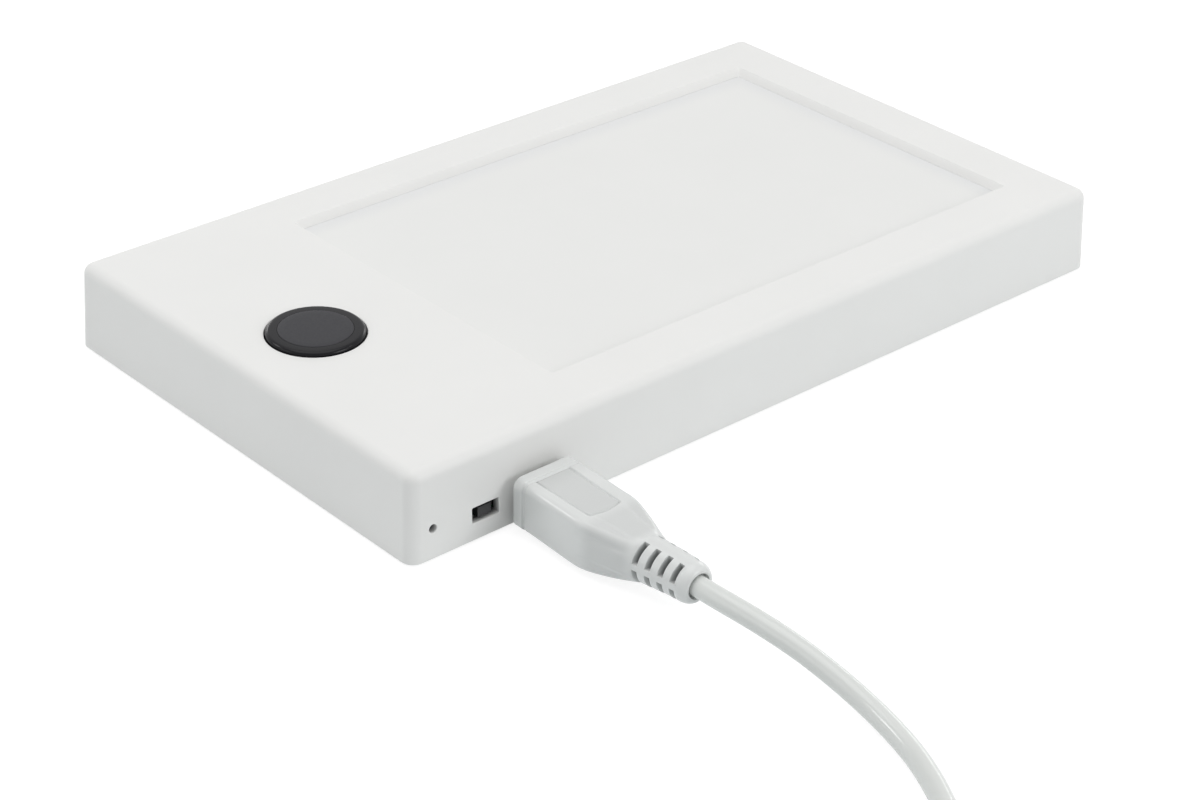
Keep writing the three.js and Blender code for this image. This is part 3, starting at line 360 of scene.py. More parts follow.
def case_rings():
    """Rings from the inside of the wall's foot, out, up the leaning wall, round the upper edge, across the
    face, over the window's rounded edge, down a straight bevel to the diffuser, and back under the skin.
    The wall moves out by the tangent of its lean times its depth."""
    slope = math.tan(wall_lean)
    arc_inset = edge_radius / math.cos(wall_lean) - slope * edge_radius
    rings = []

    def around(outward, height, radius):
        rings.append(rounded_loop(face_length / 2 + outward, face_width / 2 + outward, radius, 0, height))

    foot = slope * (case_top - case_foot)
    inner_foot = foot - wall_thickness
    around(inner_foot, case_foot, inner_corner)
    around(foot - rim_radius, case_foot, corner_radius - rim_radius)
    for turn in np.linspace(0, math.pi / 2, 4)[1:]:
        outward = foot - rim_radius + rim_radius * math.sin(turn)
        around(outward, case_foot + rim_radius - rim_radius * math.cos(turn), corner_radius)
    for turn in np.linspace(wall_lean, math.pi / 2, 12):
        outward = edge_radius * math.cos(turn) - arc_inset
        inset = edge_radius * (math.cos(wall_lean) - math.cos(turn))
        around(outward, case_top - edge_radius + edge_radius * math.sin(turn), corner_radius - inset)

    def window(outward, height, radius):
        half_x, half_y = window_length / 2 + outward, window_width / 2 + outward
        rings.append(rounded_loop(half_x, half_y, radius, window_middle, height))

    for turn in np.linspace(0, window_slope, 5):
        outward = window_lip * (math.sin(window_slope) - math.sin(turn))
        window(outward, case_top - window_lip + window_lip * math.cos(turn), window_corner + outward)
    drop = case_top - window_lip + window_lip * math.cos(window_slope) - diffuser_top
    window(-drop / math.tan(window_slope), diffuser_top, bevel_foot_corner)
    inner_top = slope * skin_thickness - wall_thickness
    around(inner_top, case_top - skin_thickness, inner_corner)
    return np.array(rings)


def lathe(profile, middle_x, middle_y, sides):
    """Rings of a turned body: each (radius, height) of the profile swept round the upright axis."""
    profile = np.array(profile, float)
    angle = np.arange(sides) / sides * 2 * math.pi
    x = middle_x + profile[:, :1] * np.cos(angle)
    y = middle_y + profile[:, :1] * np.sin(angle)
    return np.stack([x, y, np.broadcast_to(profile[:, 1:], x.shape)], axis=-1)


def wall_cutter(outline, middle_x, middle_z, flare, depth):
    """A cutter through the front wall: an outline of (x, z) offsets pushed inwards from the leaning wall's
    surface, widened by a quarter circle of the flare's radius where it meets the surface."""
    outline = np.array(outline, float)
    size = np.abs(outline).max(axis=0)
    rows = [(-cutter_overrun, flare)]
    for turn in np.linspace(0, math.pi / 2, 4):
        rows.append((flare * math.sin(turn), flare * (1 - math.sin(turn))))
    rows.append((depth, 0))
    rings = []
    for inward, wider in rows:
        spread = outline * (size + wider) / size
        z = middle_z + spread[:, 1]
        wall = -(face_width / 2 + math.tan(wall_lean) * (case_top - z))
        rings.append(np.column_stack([middle_x + spread[:, 0], wall + inward, z]))
    return np.array(rings)


def cut_away(piece, cutters, crease):
    """Takes the cutters' closed shells out of the piece for good."""
    knife = mesh_piece("knife", [(rings, ring_faces(*rings.shape[:2])) for rings in cutters])
    cut = piece.modifiers.new("cut", "BOOLEAN")
    cut.object = knife
    cut.operation = "DIFFERENCE"
    cut.solver = "EXACT"
    shapes = bpy.context.evaluated_depsgraph_get()
    mesh = bpy.data.meshes.new_from_object(piece.evaluated_get(shapes))
    piece.modifiers.clear()
    piece.data = mesh
    mesh.materials.clear()
    bpy.data.objects.remove(knife)
    mesh.shade_smooth()
    mesh.set_sharp_from_angle(angle=math.radians(crease))


def even_normals(piece):
    """Lets large flat faces rule the shading of the narrow rounded ones beside them."""
    weighted = piece.modifiers.new("even normals", "WEIGHTED_NORMAL")
    weighted.keep_sharp = True
    weighted.weight = 80


def mix_base(material, share, colour):
    """Mixes the material's base colour towards another one by the share, an output of one of its nodes."""
    nodes, links = material.node_tree.nodes, material.node_tree.links
    base = nodes["Principled BSDF"].inputs["Base Color"]
    mix = nodes.new("ShaderNodeMix")
    mix.data_type = "RGBA"
    mix.inputs["B"].default_value = (*colour, 1)
    links.new(share, mix.inputs["Factor"])
    links.new(base.links[0].from_socket, mix.inputs["A"])
    links.new(mix.outputs["Result"], base)


def paint_shade_from_values(piece, values, material, colour):
    """Stores one value a point on the piece as its hollow attribute, and lets that mix the material's base
    colour towards a darker one: painted shade, put where shade would gather."""
    hollow = piece.data.attributes.new("hollow", "FLOAT", "POINT")
    hollow.data.foreach_set("value", values)
    depth = material.node_tree.nodes.new("ShaderNodeAttribute")
    depth.attribute_name = "hollow"
    mix_base(material, depth.outputs["Fac"], colour)


def case_shade(mesh):
    """Painted shade: 1 at the points well inside the slot or the small round hole of the front wall, the
    bevel's own shade at the foot of the window's bevel, and 0 elsewhere."""
    points = np.empty(len(mesh.vertices) * 3)
    mesh.vertices.foreach_get("co", points)
    x, y, z = points.reshape(-1, 3).T / MM
    wall = -(face_width / 2 + math.tan(wall_lean) * (case_top - z))
    beside_slot = np.abs(x - slot_x) < slot_opening[0] + shade_margin
    in_slot = beside_slot & (np.abs(z - slot_z) < slot_opening[1] + shade_margin)
    in_hole = np.hypot(x - led_hole_x, z - led_hole_z) < led_hole_radius + shade_margin
    deep = (in_slot | in_hole) & (y > wall + shade_start) & (y < wall + shade_end)
    in_window = (np.abs(x - window_middle) < window_length / 2) & (np.abs(y) < window_width / 2)
    return deep + bevel_shade * (in_window & (np.abs(z - diffuser_top) < 0.01))


case_walls = case_rings()
case = mesh_piece("top_case", [(case_walls, ring_faces(*case_walls.shape[:2], closed=True))])
hole_radius = 7.6
hole_flare = 0.15
hole_depth = 3
hole_profile = [(hole_radius, case_top - hole_depth), (hole_radius, case_top - hole_flare)]
for turn in np.linspace(0, math.pi / 2, 5)[1:]:
    hole_profile.append((
        hole_radius + hole_flare * (1 - math.cos(turn)),
        case_top - hole_flare + hole_flare * math.sin(turn),
    ))
hole_profile.append((hole_radius + hole_flare, case_top + cutter_overrun))
led_hole_x, led_hole_z = -66.8, 5.25
led_hole_radius = 0.65
slot_x, slot_z = -57.5, 4.425
slot_opening = (2.4, 1.225)
port_depth = 2.5
port_flare = 0.1
socket_outline = [(4, 1.475), (-4, 1.475), (-4, -0.775), (-3.3, -1.475), (3.3, -1.475), (4, -0.775)]
round_outline = rounded_loop(led_hole_radius, led_hole_radius, led_hole_radius, 0, 0, turns=8)[:, :2]
slot_outline = rounded_loop(*slot_opening, 0.25, 0, 0, turns=4)[:, :2]
cut_away(case, [
    lathe(hole_profile, button_x, 0, 120),
    wall_cutter(round_outline, led_hole_x, led_hole_z, 0.08, port_depth),
    wall_cutter(slot_outline, slot_x, slot_z, port_flare, port_depth),
    wall_cutter(socket_outline, socket_place[0], socket_place[2], port_flare, port_depth),
], crease=32)
even_normals(case)
case_plastic = moulded_material(
    "satin white ABS", (0.823, 0.823, 0.810), (0.808, 0.809, 0.796), (0.42, 0.55), grain=2600, relief=0.05)
# Painted shade: the case darkens deep in the wall's slot and round hole, and at the window bevel's foot.
shade_margin = 0.05
shade_start, shade_end = 0.3, 2
bevel_shade = 0.06
paint_shade_from_values(case, case_shade(case.data), case_plastic, (0.12, 0.12, 0.12))
place_piece(case, case_plastic, "lamp", "white_plastic", "top_housing")

# Diffuser plate and the sheets under it. An opal acrylic plate shows in the window, about a millimetre down.
# Under it lie a prism film, a clear acrylic light guide and a white reflector in a moulded white tray.
opal_acrylic = moulded_material(
    "opal acrylic", (0.80, 0.803, 0.79), (0.79, 0.793, 0.78), (0.40, 0.50), grain=1200, relief=0.02)
clear_acrylic = moulded_material(
    "clear acrylic", (0.9, 0.94, 0.95), (0.88, 0.93, 0.94), (0.04, 0.08),
    Transmission_Weight=0.9, IOR=1.49)
frosted_film = moulded_material(
    "frosted film", (0.86, 0.88, 0.89), (0.84, 0.86, 0.87), (0.25, 0.4), Transmission_Weight=0.5)
white_sheet = moulded_material(
    "matt white sheet", (0.86, 0.86, 0.85), (0.84, 0.84, 0.83), (0.5, 0.7))


def paint_back_edge_shade(material, far_x, far_y, width, colour):
    """Painted shade for the window's back walls: mixes the base colour towards a darker one where a plate
    nears the two back edges of its window. The share rises smoothly from nothing, the width away from the
    edge, to one at the edge, along X or Y, whichever is more."""
    nodes, links = material.node_tree.nodes, material.node_tree.links
    place = nodes.new("ShaderNodeTexCoord")
    split = nodes.new("ShaderNodeSeparateXYZ")
    links.new(place.outputs["Object"], split.inputs["Vector"])
    most = nodes.new("ShaderNodeMath")
    most.operation = "MAXIMUM"
    for number, (axis, far) in enumerate([("X", far_x), ("Y", far_y)]):
        rise = nodes.new("ShaderNodeMapRange")
        rise.interpolation_type = "SMOOTHERSTEP"
        rise.inputs["From Min"].default_value = (far - width) * MM
        rise.inputs["From Max"].default_value = far * MM
        links.new(split.outputs[axis], rise.inputs["Value"])
        links.new(rise.outputs["Result"], most.inputs[number])
    mix_base(material, most.outputs["Value"], colour)


# Painted shade on the diffuser by the window's two back edges, where the back walls shade it.
border_width = 6
paint_back_edge_shade(
    opal_acrylic, window_middle + window_length / 2, window_width / 2, border_width, (0.75, 0.757, 0.76))


def dress(material, *nodes):
    """Gives CAD nodes that stay as they are their material."""
    for node in nodes:
        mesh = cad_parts[node].data
        mesh.materials.clear()
        mesh.materials.append(material)


dress(opal_acrylic, "diffuser_plate")
dress(frosted_film, "prism_film")
dress(clear_acrylic, "light_guide")
dress(white_sheet, "reflector_sheet", "optics_tray")

# Push button. A glossy black ABS cap with a rounded rim stands a little proud of the face, held under the
# skin by its flange, with a satin dark grey disc pressed into its top. Its stem presses the switch on the
# board.
button_radius = 7.4
button_bevel = 0.65
button_rise = 0.6
button_height = case_top + button_rise
axis_gap = 0.02
stem_radius, stem_foot = 2, 8.45
hollow_radius, hollow_roof = 6.5, 13.7
flange_radius, flange_low, flange_high = 8.2, 12.6, 13.5
disc_radius = 5.6
disc_edge = 0.12
disc_swell = 0.06
seat_play, seat_bevel, seat_floor = 0.02, 0.04, 14.72
disc_foot = 14.76


def cap_profile():
    """Up the stem, across the roof of the hollow, round the flange and up the outside, round the rim as a
    quarter ellipse, across the ring and into the seat of the disc."""
    turn = np.linspace(0, math.pi / 2, 10)
    rim_x = button_radius - button_bevel + button_bevel * np.cos(turn)
    rim_z = case_top + button_rise * np.sin(turn)
    seat = disc_radius + seat_play
    return [
        (axis_gap, stem_foot), (stem_radius, stem_foot), (stem_radius, hollow_roof),
        (hollow_radius, hollow_roof), (hollow_radius, flange_low),
        (flange_radius, flange_low), (flange_radius, flange_high), (button_radius, flange_high),
        *zip(rim_x, rim_z),
        (seat + seat_bevel, button_height), (seat, button_height - seat_bevel),
        (seat, seat_floor), (axis_gap, seat_floor),
    ]


def disc_profile():
    """Up the disc's side, round its edge as a quarter circle and across a top that swells as a parabola
    towards the middle."""
    turn = np.linspace(0, math.pi / 2, 5)
    edge_x = disc_radius - disc_edge + disc_edge * np.cos(turn)
    edge_z = button_height - 0.05 + disc_edge * np.sin(turn)
    share = np.linspace(1, 0, 6)[1:-1]
    swell_x = (disc_radius - disc_edge) * share
    swell_z = edge_z[-1] + disc_swell * (1 - share**2)
    return [
        (axis_gap, disc_foot), (disc_radius, disc_foot),
        *zip(edge_x, edge_z),
        *zip(swell_x, swell_z),
        (axis_gap, swell_z[-1]),
    ]


button_rings = lathe(cap_profile(), button_x, 0, 128)
button = mesh_piece("button_ring_cap", [(button_rings, ring_faces(*button_rings.shape[:2]))])
even_normals(button)
black_gloss = moulded_material(
    "glossy black ABS", (0.004, 0.004, 0.006), (0.003, 0.003, 0.005), (0.16, 0.24),
    grain=2500, relief=0.02, Specular_IOR_Level=0.18)
place_piece(button, black_gloss, "push_button", "gloss_black_plastic", "button_cap")
disc_rings = lathe(disc_profile(), button_x, 0, 96)
disc = mesh_piece("button_disc", [(disc_rings, ring_faces(*disc_rings.shape[:2]))])
grey_satin = moulded_material(
    "satin dark grey plastic", (0.016, 0.016, 0.020), (0.013, 0.013, 0.017), (0.45, 0.62),
    grain=3500, relief=0.15, Specular_IOR_Level=0.35)
place_piece(disc, grey_satin, "push_button", "satin_grey_plastic", "button_inset")

# Status light and slide switch. A clear pipe ends inside the small round hole; behind the slot beside it a
# black nylon switch sits on the board, its lever in the middle of the slot.
# The pipe is clear plastic; its dark grey colour is painted shade for the dark hole and the inside behind it.
shaded_pipe = moulded_material(
    "clear plastic with painted shade", (0.16, 0.165, 0.17), (0.13, 0.135, 0.14), (0.15, 0.25), Transmission_Weight=0.3)
black_nylon = moulded_material(
    "matt black nylon", (0.016, 0.017, 0.018), (0.012, 0.013, 0.014), (0.35, 0.5), grain=3000, relief=0.2)
dress(shaded_pipe, "light_pipe")
dress(black_nylon, "slide_switch_body", "slide_switch_lever", "tact_switch_body", "usb_socket_tongue")

# Small plug. A soft light grey vinyl grip moulded over a steel shell: a thin flange, a straight body with a
# bare panel outlined on top, a taper, and a strain relief with rings of slots between four spines.
flange_half = (5.5, 4.0)
flange_corner = 1.5
flange_end = 1.7
body_start = 2.5
body_half = (5.35, 3.85)
body_corner = 1.1
body_growth = 0.1
taper_start = 13.9
taper_ease = 1.4
taper_end_radius = 3.45
taper_corner_growth = 2.2
relief_start = 22.4
relief_end = 31.6
relief_radii = (3.4, 2.95)
collar_length, collar_round = 1.8, 1.0
pocket_depth, pocket_half, pocket_corner = 3.2, (3.53, 1.0), 0.3
first_slot, slot_step = 0.5, 2.15
slot_middles = relief_start + first_slot + slot_step * np.arange(4)
slot_half = 0.42
slot_depth = 1.45
spine_halves = (1.28, 0.555)
relief_roll = 0.056
flute_depth, flute_width, flute_offset = 0.24, math.radians(6.5), math.radians(15)
panel_start, panel_end = 2.1, 14.0
panel_half, panel_corner = 2.98, 0.3
panel_sink = 0.08
groove_depth, groove_width = 0.26, 0.16
# Shares of painted shade: in the sunk panel, on the taper, and in the lower slots against the upper ones.
panel_shade, taper_shade, lower_slot_shade = 0.17, 0.13, 0.6


def section_radius(cosine, sine, half_x, half_z, radius):
    """Distance from the middle of a rounded rectangle to its edge along each direction: to the side, to the
    top, or, where neither straight part is met, to the corner's circle."""
    c, s = np.abs(cosine), np.abs(sine)
    to_side = half_x / np.maximum(c, 1e-9)
    to_top = half_z / np.maximum(s, 1e-9)
    a, b = half_x - radius, half_z - radius
    to_corner = a * c + b * s + np.sqrt(np.maximum(radius**2 - (a * s - b * c) ** 2, 0))
    reached = np.where(to_top * c <= a, to_top, to_corner)
    return np.where(to_side * s <= b, to_side, reached)


def even_angles(count):
    """Equal angles round a full turn, half a step off the axes."""
    return (np.arange(count) + 0.5) / count * 2 * math.pi


def sectioned(rows, angle):
    """Rings of (x, distance, z) from rows of (distance, half width, half height, corner radius), one point
    for each of the angles round the middle."""
    rows = np.array(rows, float)
    c, s = np.cos(angle)[None], np.sin(angle)[None]
    reach = section_radius(c, s, rows[:, 1:2], rows[:, 2:3], rows[:, 3:4])
    return np.stack([reach * c, np.broadcast_to(rows[:, :1], reach.shape), reach * s], axis=-1)


def arc_rows(start, end, half, corner, turns, towards):
    """Rows that round an edge by a quarter ellipse as the distance goes from start to end. When towards is
    1 the half sizes and the corner grow together, steeply at first; when it is -1 they shrink together,
    steeply at last."""
    turn = np.linspace(0, math.pi / 2, turns)
    rise = np.sin(turn) if towards > 0 else np.cos(turn)
    run = 1 - np.cos(turn) if towards > 0 else np.sin(turn)
    low = abs(end - start) * (1 - rise)
    return [
        (start + (end - start) * r, half[0] - l, half[1] - l, max(corner - l, 0.05)) for r, l in zip(run, low)
    ]


def body_rows():
    """The body's straight part, a little taller towards its far end, then the taper: a straight ramp whose
    start is eased by a parabola, taking the half width, half height and corner radius to those of the
    strain relief."""
    ends = [np.arange(2.55, 3.3, 0.08), np.arange(3.3, 12.3, 0.3), np.arange(12.3, 14.4, 0.08)]
    distance = np.concatenate([*ends, np.linspace(14.4, relief_start - 0.1, 30)])
    past = distance - taper_start
    eased = np.clip(past + taper_ease, 0, None) ** 2 / (4 * taper_ease)
    share = np.where(past > taper_ease, past, eased) / (relief_start - taper_start)
    grown = body_growth * np.clip((distance - body_start) / (taper_start - body_start), 0, 1)
    half_x = body_half[0] + (taper_end_radius - body_half[0]) * share
    half_z = body_half[1] + grown + (taper_end_radius - body_half[1] - grown) * share
    corner = body_corner + taper_corner_growth * share**2
    return list(zip(distance, half_x, half_z, corner))


def relief_rows():
    """The strain relief's radius falls evenly along it, with close rows at the walls of each slot, then
    rounds over as a quarter ellipse into the end face, where the hole that the cord comes out of goes a
    millimetre in."""
    distance = []
    for middle in slot_middles:
        walls = slot_half + np.array([-0.055, -0.02, 0.015, 0.055])
        distance += [*(middle - walls[::-1]), middle - 0.2, middle + 0.2, *(middle + walls)]
        distance += [middle + 0.75, middle + 1.075, middle + 1.4]
    distance = np.array([relief_start, *distance[:-2], relief_end - collar_length - 0.05])
    radius = np.interp(distance, (relief_start, relief_end), relief_radii)
    rows = [(d, r, r, r) for d, r in zip(distance, radius)]
    for turn in np.linspace(0, math.pi / 2, 10):
        rounded = radius[-1] - collar_round * (1 - math.cos(turn))
        rows.append((relief_end - collar_length + collar_length * math.sin(turn), rounded, rounded, rounded))
    rows += [(relief_end - 0.06, 1.92, 1.92, 1.92), (relief_end - 1.15, 1.84, 1.84, 1.84)]
    rows.append((relief_end - 1.2, 1.2, 1.2, 1.2))
    return rows


def soft_box(value, half, blur):
    """1 inside the half size, 0 outside, eased over the blur."""
    return 1 - smooth_step((np.abs(value) - half) / blur + 0.5)


def panel_edge(x, distance):
    """Distance to the edge of the panel, less than nothing inside it: a rounded box that narrows away from
    the lamp and whose far end bulges by the square of the way across."""
    share = np.clip((distance - panel_start) / (panel_end - panel_start), 0, 1)
    middle = x + 0.24 - 0.06 * share
    across = np.abs(middle) - panel_half + 0.2 * share + panel_corner
    along = np.maximum(panel_start - distance, distance + 0.07 * middle**2 - panel_end) + panel_corner
    outside = np.hypot(np.maximum(across, 0), np.maximum(along, 0))
    return outside + np.minimum(np.maximum(across, along), 0) - panel_corner


def grip_bend(distance):
    """How far the grip is off its line: it leans to one side along its body and swings back along the
    strain relief, by two eased steps."""
    return 0.68 * smooth_step((distance - 20) / 9.5) - 0.43 * smooth_step((distance - 1) / 14)


def grip_rings():
    """The whole grip as one surface, and its shade. Where a slot lies, its points move towards the axis by
    the slot's depth times the eased boxes of the distance and of the way from the nearest spine. On both
    sides of each ridge of the taper runs a flute, a bell curve of the angle from the ridge. The panel sinks
    a little, inside a groove whose depth is a bell curve of the distance to its edge. The shade is painted
    shade: 1 in the slots, less in those of the lower side, with values of its own in the sunk panel and on
    the taper, which it darkens."""
    rows = [(pocket_depth, *pocket_half, pocket_corner), (0, *pocket_half, pocket_corner)]
    rows += arc_rows(0, 0.14, flange_half, flange_corner, 6, 1)
    rows += arc_rows(flange_end - 0.2, flange_end, flange_half, flange_corner, 6, -1)
    rows += [(flange_end + 0.1, 5.15, 3.72, body_corner), (2.1, 5.12, 3.7, body_corner)]
    rows += arc_rows(2.2, 2.4, body_half, body_corner, 6, 1)
    rows += body_rows()
    rows += relief_rows()
    fine = np.radians(np.concatenate([np.arange(51, 64, 0.3), np.arange(124, 133, 0.3)]))
    points = sectioned(rows, np.sort(np.concatenate([even_angles(220), fine])))
    x, distance, z = points[..., 0], points[..., 1], points[..., 2]
    reach = np.hypot(x, z)
    slots = np.zeros_like(x)
    for middle in slot_middles:
        slots += soft_box(distance - middle, slot_half, 0.11)
    turned_x = x * math.cos(relief_roll) - z * math.sin(relief_roll)
    turned_z = z * math.cos(relief_roll) + x * math.sin(relief_roll)
    beside = smooth_step((np.abs(turned_x) - spine_halves[0]) / 0.12 + 0.5)
    above = smooth_step((np.abs(turned_z) - spine_halves[1]) / 0.12 + 0.5)
    sunk = np.where((reach > 2.2) & (distance > relief_start), slots * beside * above * slot_depth, 0)
    points[..., 0] -= sunk * x / reach
    points[..., 2] -= sunk * z / reach
    corner = np.interp(distance, (taper_start, relief_start), np.radians((36.4, 45)))
    from_corner = np.abs(np.arctan2(np.abs(z), np.abs(x)) - corner)
    along_taper = smooth_step((distance - 12) / 3.5) * (1 - smooth_step((distance - 19.5) / 2.5))
    flute = flute_depth * along_taper * np.exp(-(((from_corner - flute_offset) / flute_width) ** 2))
    points[..., 0] -= flute * x / reach
    points[..., 2] -= flute * z / reach
    edge = panel_edge(x, distance)
    inside = 1 - smooth_step(edge / 0.3 + 0.5)
    dip = groove_depth * np.exp(-((edge / groove_width) ** 2)) + panel_sink * inside
    on_top = (z > 3.3) & (distance > 2.2) & (distance < 16)
    points[..., 2] -= np.where(on_top, dip, 0)
    points[..., 0] += grip_bend(distance)
    # Painted shade: darker in the slots, in the sunk panel and on the taper.
    shade = sunk / slot_depth * np.where(z > -0.4, 1, lower_slot_shade)
    shade += np.where(on_top, panel_shade * inside, 0)
    on_taper = smooth_step((distance - 13.6) / 2.4) * (1 - smooth_step((distance - 20.6) / 1.8))
    return points, np.maximum(shade, taper_shade * on_taper)


def plug_place(points, place, heading):
    """Moves (x, distance, z) points to the row frame: distance runs along the heading from the place, which
    is (0, -1) for a plug that points along -Y and (-1, 0) for one along -X."""
    x, distance, z = points[..., 0], points[..., 1], points[..., 2]
    side = (-heading[1], heading[0])
    return np.stack([
        place[0] + x * side[0] + distance * heading[0],
        place[1] + x * side[1] + distance * heading[1],
        place[2] + z,
    ], axis=-1)


grip_shape, grip_shade = grip_rings()
grip_points = plug_place(grip_shape, socket_place, (0, -1))
grip = mesh_piece("small_plug_grip", [(grip_points, ring_faces(*grip_points.shape[:2]))], crease=50)
grip_vinyl = moulded_material(
    "satin light grey vinyl", (0.72, 0.735, 0.727), (0.705, 0.72, 0.712), (0.20, 0.28),
    grain=2200, relief=0.12)
# The grip's colour mixes towards dark grey by its painted shade.
paint_shade_from_values(grip, grip_shade.ravel(), grip_vinyl, (0.16, 0.165, 0.17))
place_piece(grip, grip_vinyl, "charging_cord", "cord_plastic", "micro_plug_grip")
plug_steel = moulded_material(
    "nickel plated steel", (0.62, 0.62, 0.60), (0.58, 0.58, 0.57), (0.22, 0.34),
    grain=900, relief=0.04, metal=1)
dress(plug_steel, "micro_plug_shell", "usb_socket_shell")

# Circuit board and battery. A green board carries the socket, switches, a chip and a coil; a flat foil
# battery is taped under the tray and plugs into a white header. White light strips stand along both long
# edges of the guide.
board_lacquer = moulded_material(
    "green solder lacquer", (0.012, 0.15, 0.06), (0.010, 0.12, 0.05), (0.2, 0.35), grain=700, relief=0.1)
white_nylon = moulded_material("white nylon", (0.82, 0.82, 0.79), (0.79, 0.79, 0.76), (0.35, 0.5))
battery_foil = moulded_material(
    "battery foil", (0.55, 0.56, 0.57), (0.5, 0.51, 0.52), (0.3, 0.45), grain=300, relief=0.3, metal=0.8)
grey_foam = moulded_material(
    "grey foam tape", (0.16, 0.165, 0.17), (0.13, 0.135, 0.14), (0.85, 0.95), grain=2500, relief=0.6)
red_vinyl = moulded_material(
    "red wire vinyl", (0.45, 0.02, 0.015), (0.4, 0.018, 0.013), (0.3, 0.4))
black_vinyl = moulded_material(
    "black wire vinyl", (0.015, 0.015, 0.017), (0.012, 0.012, 0.014), (0.3, 0.4))
chip_resin = moulded_material(
    "black chip resin", (0.02, 0.02, 0.022), (0.016, 0.016, 0.018), (0.55, 0.7), grain=2500, relief=0.3)
dress(board_lacquer, "main_board")
dress(white_nylon, "battery_header", "battery_plug", "led_strip_back", "led_strip_front", "status_led")
dress(battery_foil, "battery_cell")
dress(grey_foam, "battery_tape")
dress(red_vinyl, "battery_lead_red", "led_lead_back", "led_lead_front")
dress(black_vinyl, "battery_lead_black")
dress(chip_resin, "control_chip", "driver_coil", "tact_switch_plunger")

# Bottom cover, screws and feet. A flat white ABS plate inside the walls is held by cross-head screws in sunk
# holes, and stands on round dark rubber feet that are stuck into shallow seats.
cover_plastic = moulded_material(
    "matt white ABS", (0.80, 0.805, 0.797), (0.785, 0.79, 0.782), (0.5, 0.65), grain=2600, relief=0.12)
screw_steel = moulded_material(
    "zinc plated steel", (0.50, 0.50, 0.49), (0.45, 0.45, 0.44), (0.28, 0.4),
    grain=1200, relief=0.06, metal=1)
foot_rubber = moulded_material(
    "dark grey rubber", (0.05, 0.05, 0.052), (0.042, 0.042, 0.044), (0.7, 0.85), grain=3500, relief=0.4)
dress(cover_plastic, "bottom_cover")
dress(screw_steel, "board_screw_1", "board_screw_2", *[f"cover_screw_{number}" for number in range(1, 5)])
foot_places = [(54.35, 27.7), (54.35, -27.7), (-54.35, 27.7), (-54.35, -27.7)]
foot_radius = 4
foot_height = 1
foot_edge = 0.3


def foot_profile():
    """A low puck: flat below, its lower edge rounded by a quarter circle, straight sides and a flat top."""
    turn = np.linspace(0, math.pi / 2, 7)
    edge_x = foot_radius - foot_edge + foot_edge * np.sin(turn)
    edge_z = foot_edge - foot_edge * np.cos(turn)
    return [(axis_gap, 0), *zip(edge_x, edge_z), (foot_radius, foot_height), (axis_gap, foot_height)]


for number, (foot_x, foot_y) in enumerate(foot_places, start=1):
    foot_rings = lathe(foot_profile(), foot_x, foot_y, 48)
    foot = mesh_piece(f"rubber_foot_{number}", [(foot_rings, ring_faces(*foot_rings.shape[:2]))])
    place_piece(foot, foot_rubber, "lamp", "grey_rubber", f"foot_{number}")

# Strap tie. A black woven strap closed round one side of the coil keeps the spare cord wound. Its lower run
# lies between the coil and the table.
tie_angle = math.radians(130)
tie_low, tie_high = 0.02, 7.95
tie_near, tie_far = 7.5, 27.3
tie_thickness = 0.48
tie_half_width = 3
tie_corner = 1.6


def tie_rings():
    """A flat band carried round a rounded rectangle that stands across the coil's turns: at each point of
    the loop a ring of four corners, the outer two on the loop and the inner two one thickness inside it."""
    middle = (tie_near + tie_far) / 2
    height = (tie_low + tie_high) / 2
    half_sizes = np.array([(tie_far - tie_near) / 2, (tie_high - tie_low) / 2])
    outer = rounded_loop(*half_sizes, tie_corner, 0, 0, turns=8)[:, :2]
    inner = rounded_loop(*(half_sizes - tie_thickness), tie_corner - tie_thickness, 0, 0, turns=8)[:, :2]
    rings = []
    for loop, side in ((outer, 1), (inner, 1), (inner, -1), (outer, -1)):
        side = side * tie_half_width
        reach = middle + loop[:, 0]
        rings.append(np.column_stack([
            coil_centre[0] + reach * math.cos(tie_angle) - side * math.sin(tie_angle),
            coil_centre[1] + reach * math.sin(tie_angle) + side * math.cos(tie_angle),
            height + loop[:, 1],
        ]))
    return np.array(rings).transpose(1, 0, 2)


tie_points = tie_rings()
tie = mesh_piece("cord_strap", [(tie_points, ring_faces(*tie_points.shape[:2], closed=True))])
strap_weave = moulded_material(
    "black woven strap", (0.018, 0.018, 0.02), (0.03, 0.03, 0.032), (0.8, 0.95),
    grain=3000, relief=0.8, depth=0.0001)
place_piece(tie, strap_weave, "charging_cord", "black_plastic", "cord_tie")

# Large plug. The same light grey vinyl is moulded over a folded steel shell with two square holes on each
# broad side, and a white tongue with the contacts lies against the shell's roof.
far_place = (coil_centre[0] - 22.8, coil_centre[1] - coil_radius, far_plug_height)
far_heading = (-1, 0)
far_half = (7.8, 3.95)
far_corner = 1.8
far_taper_start, far_taper_length = 9, 3.4
far_front = 32
far_relief_radius = 2.95
rib_depth, rib_step = 0.22, 1.8


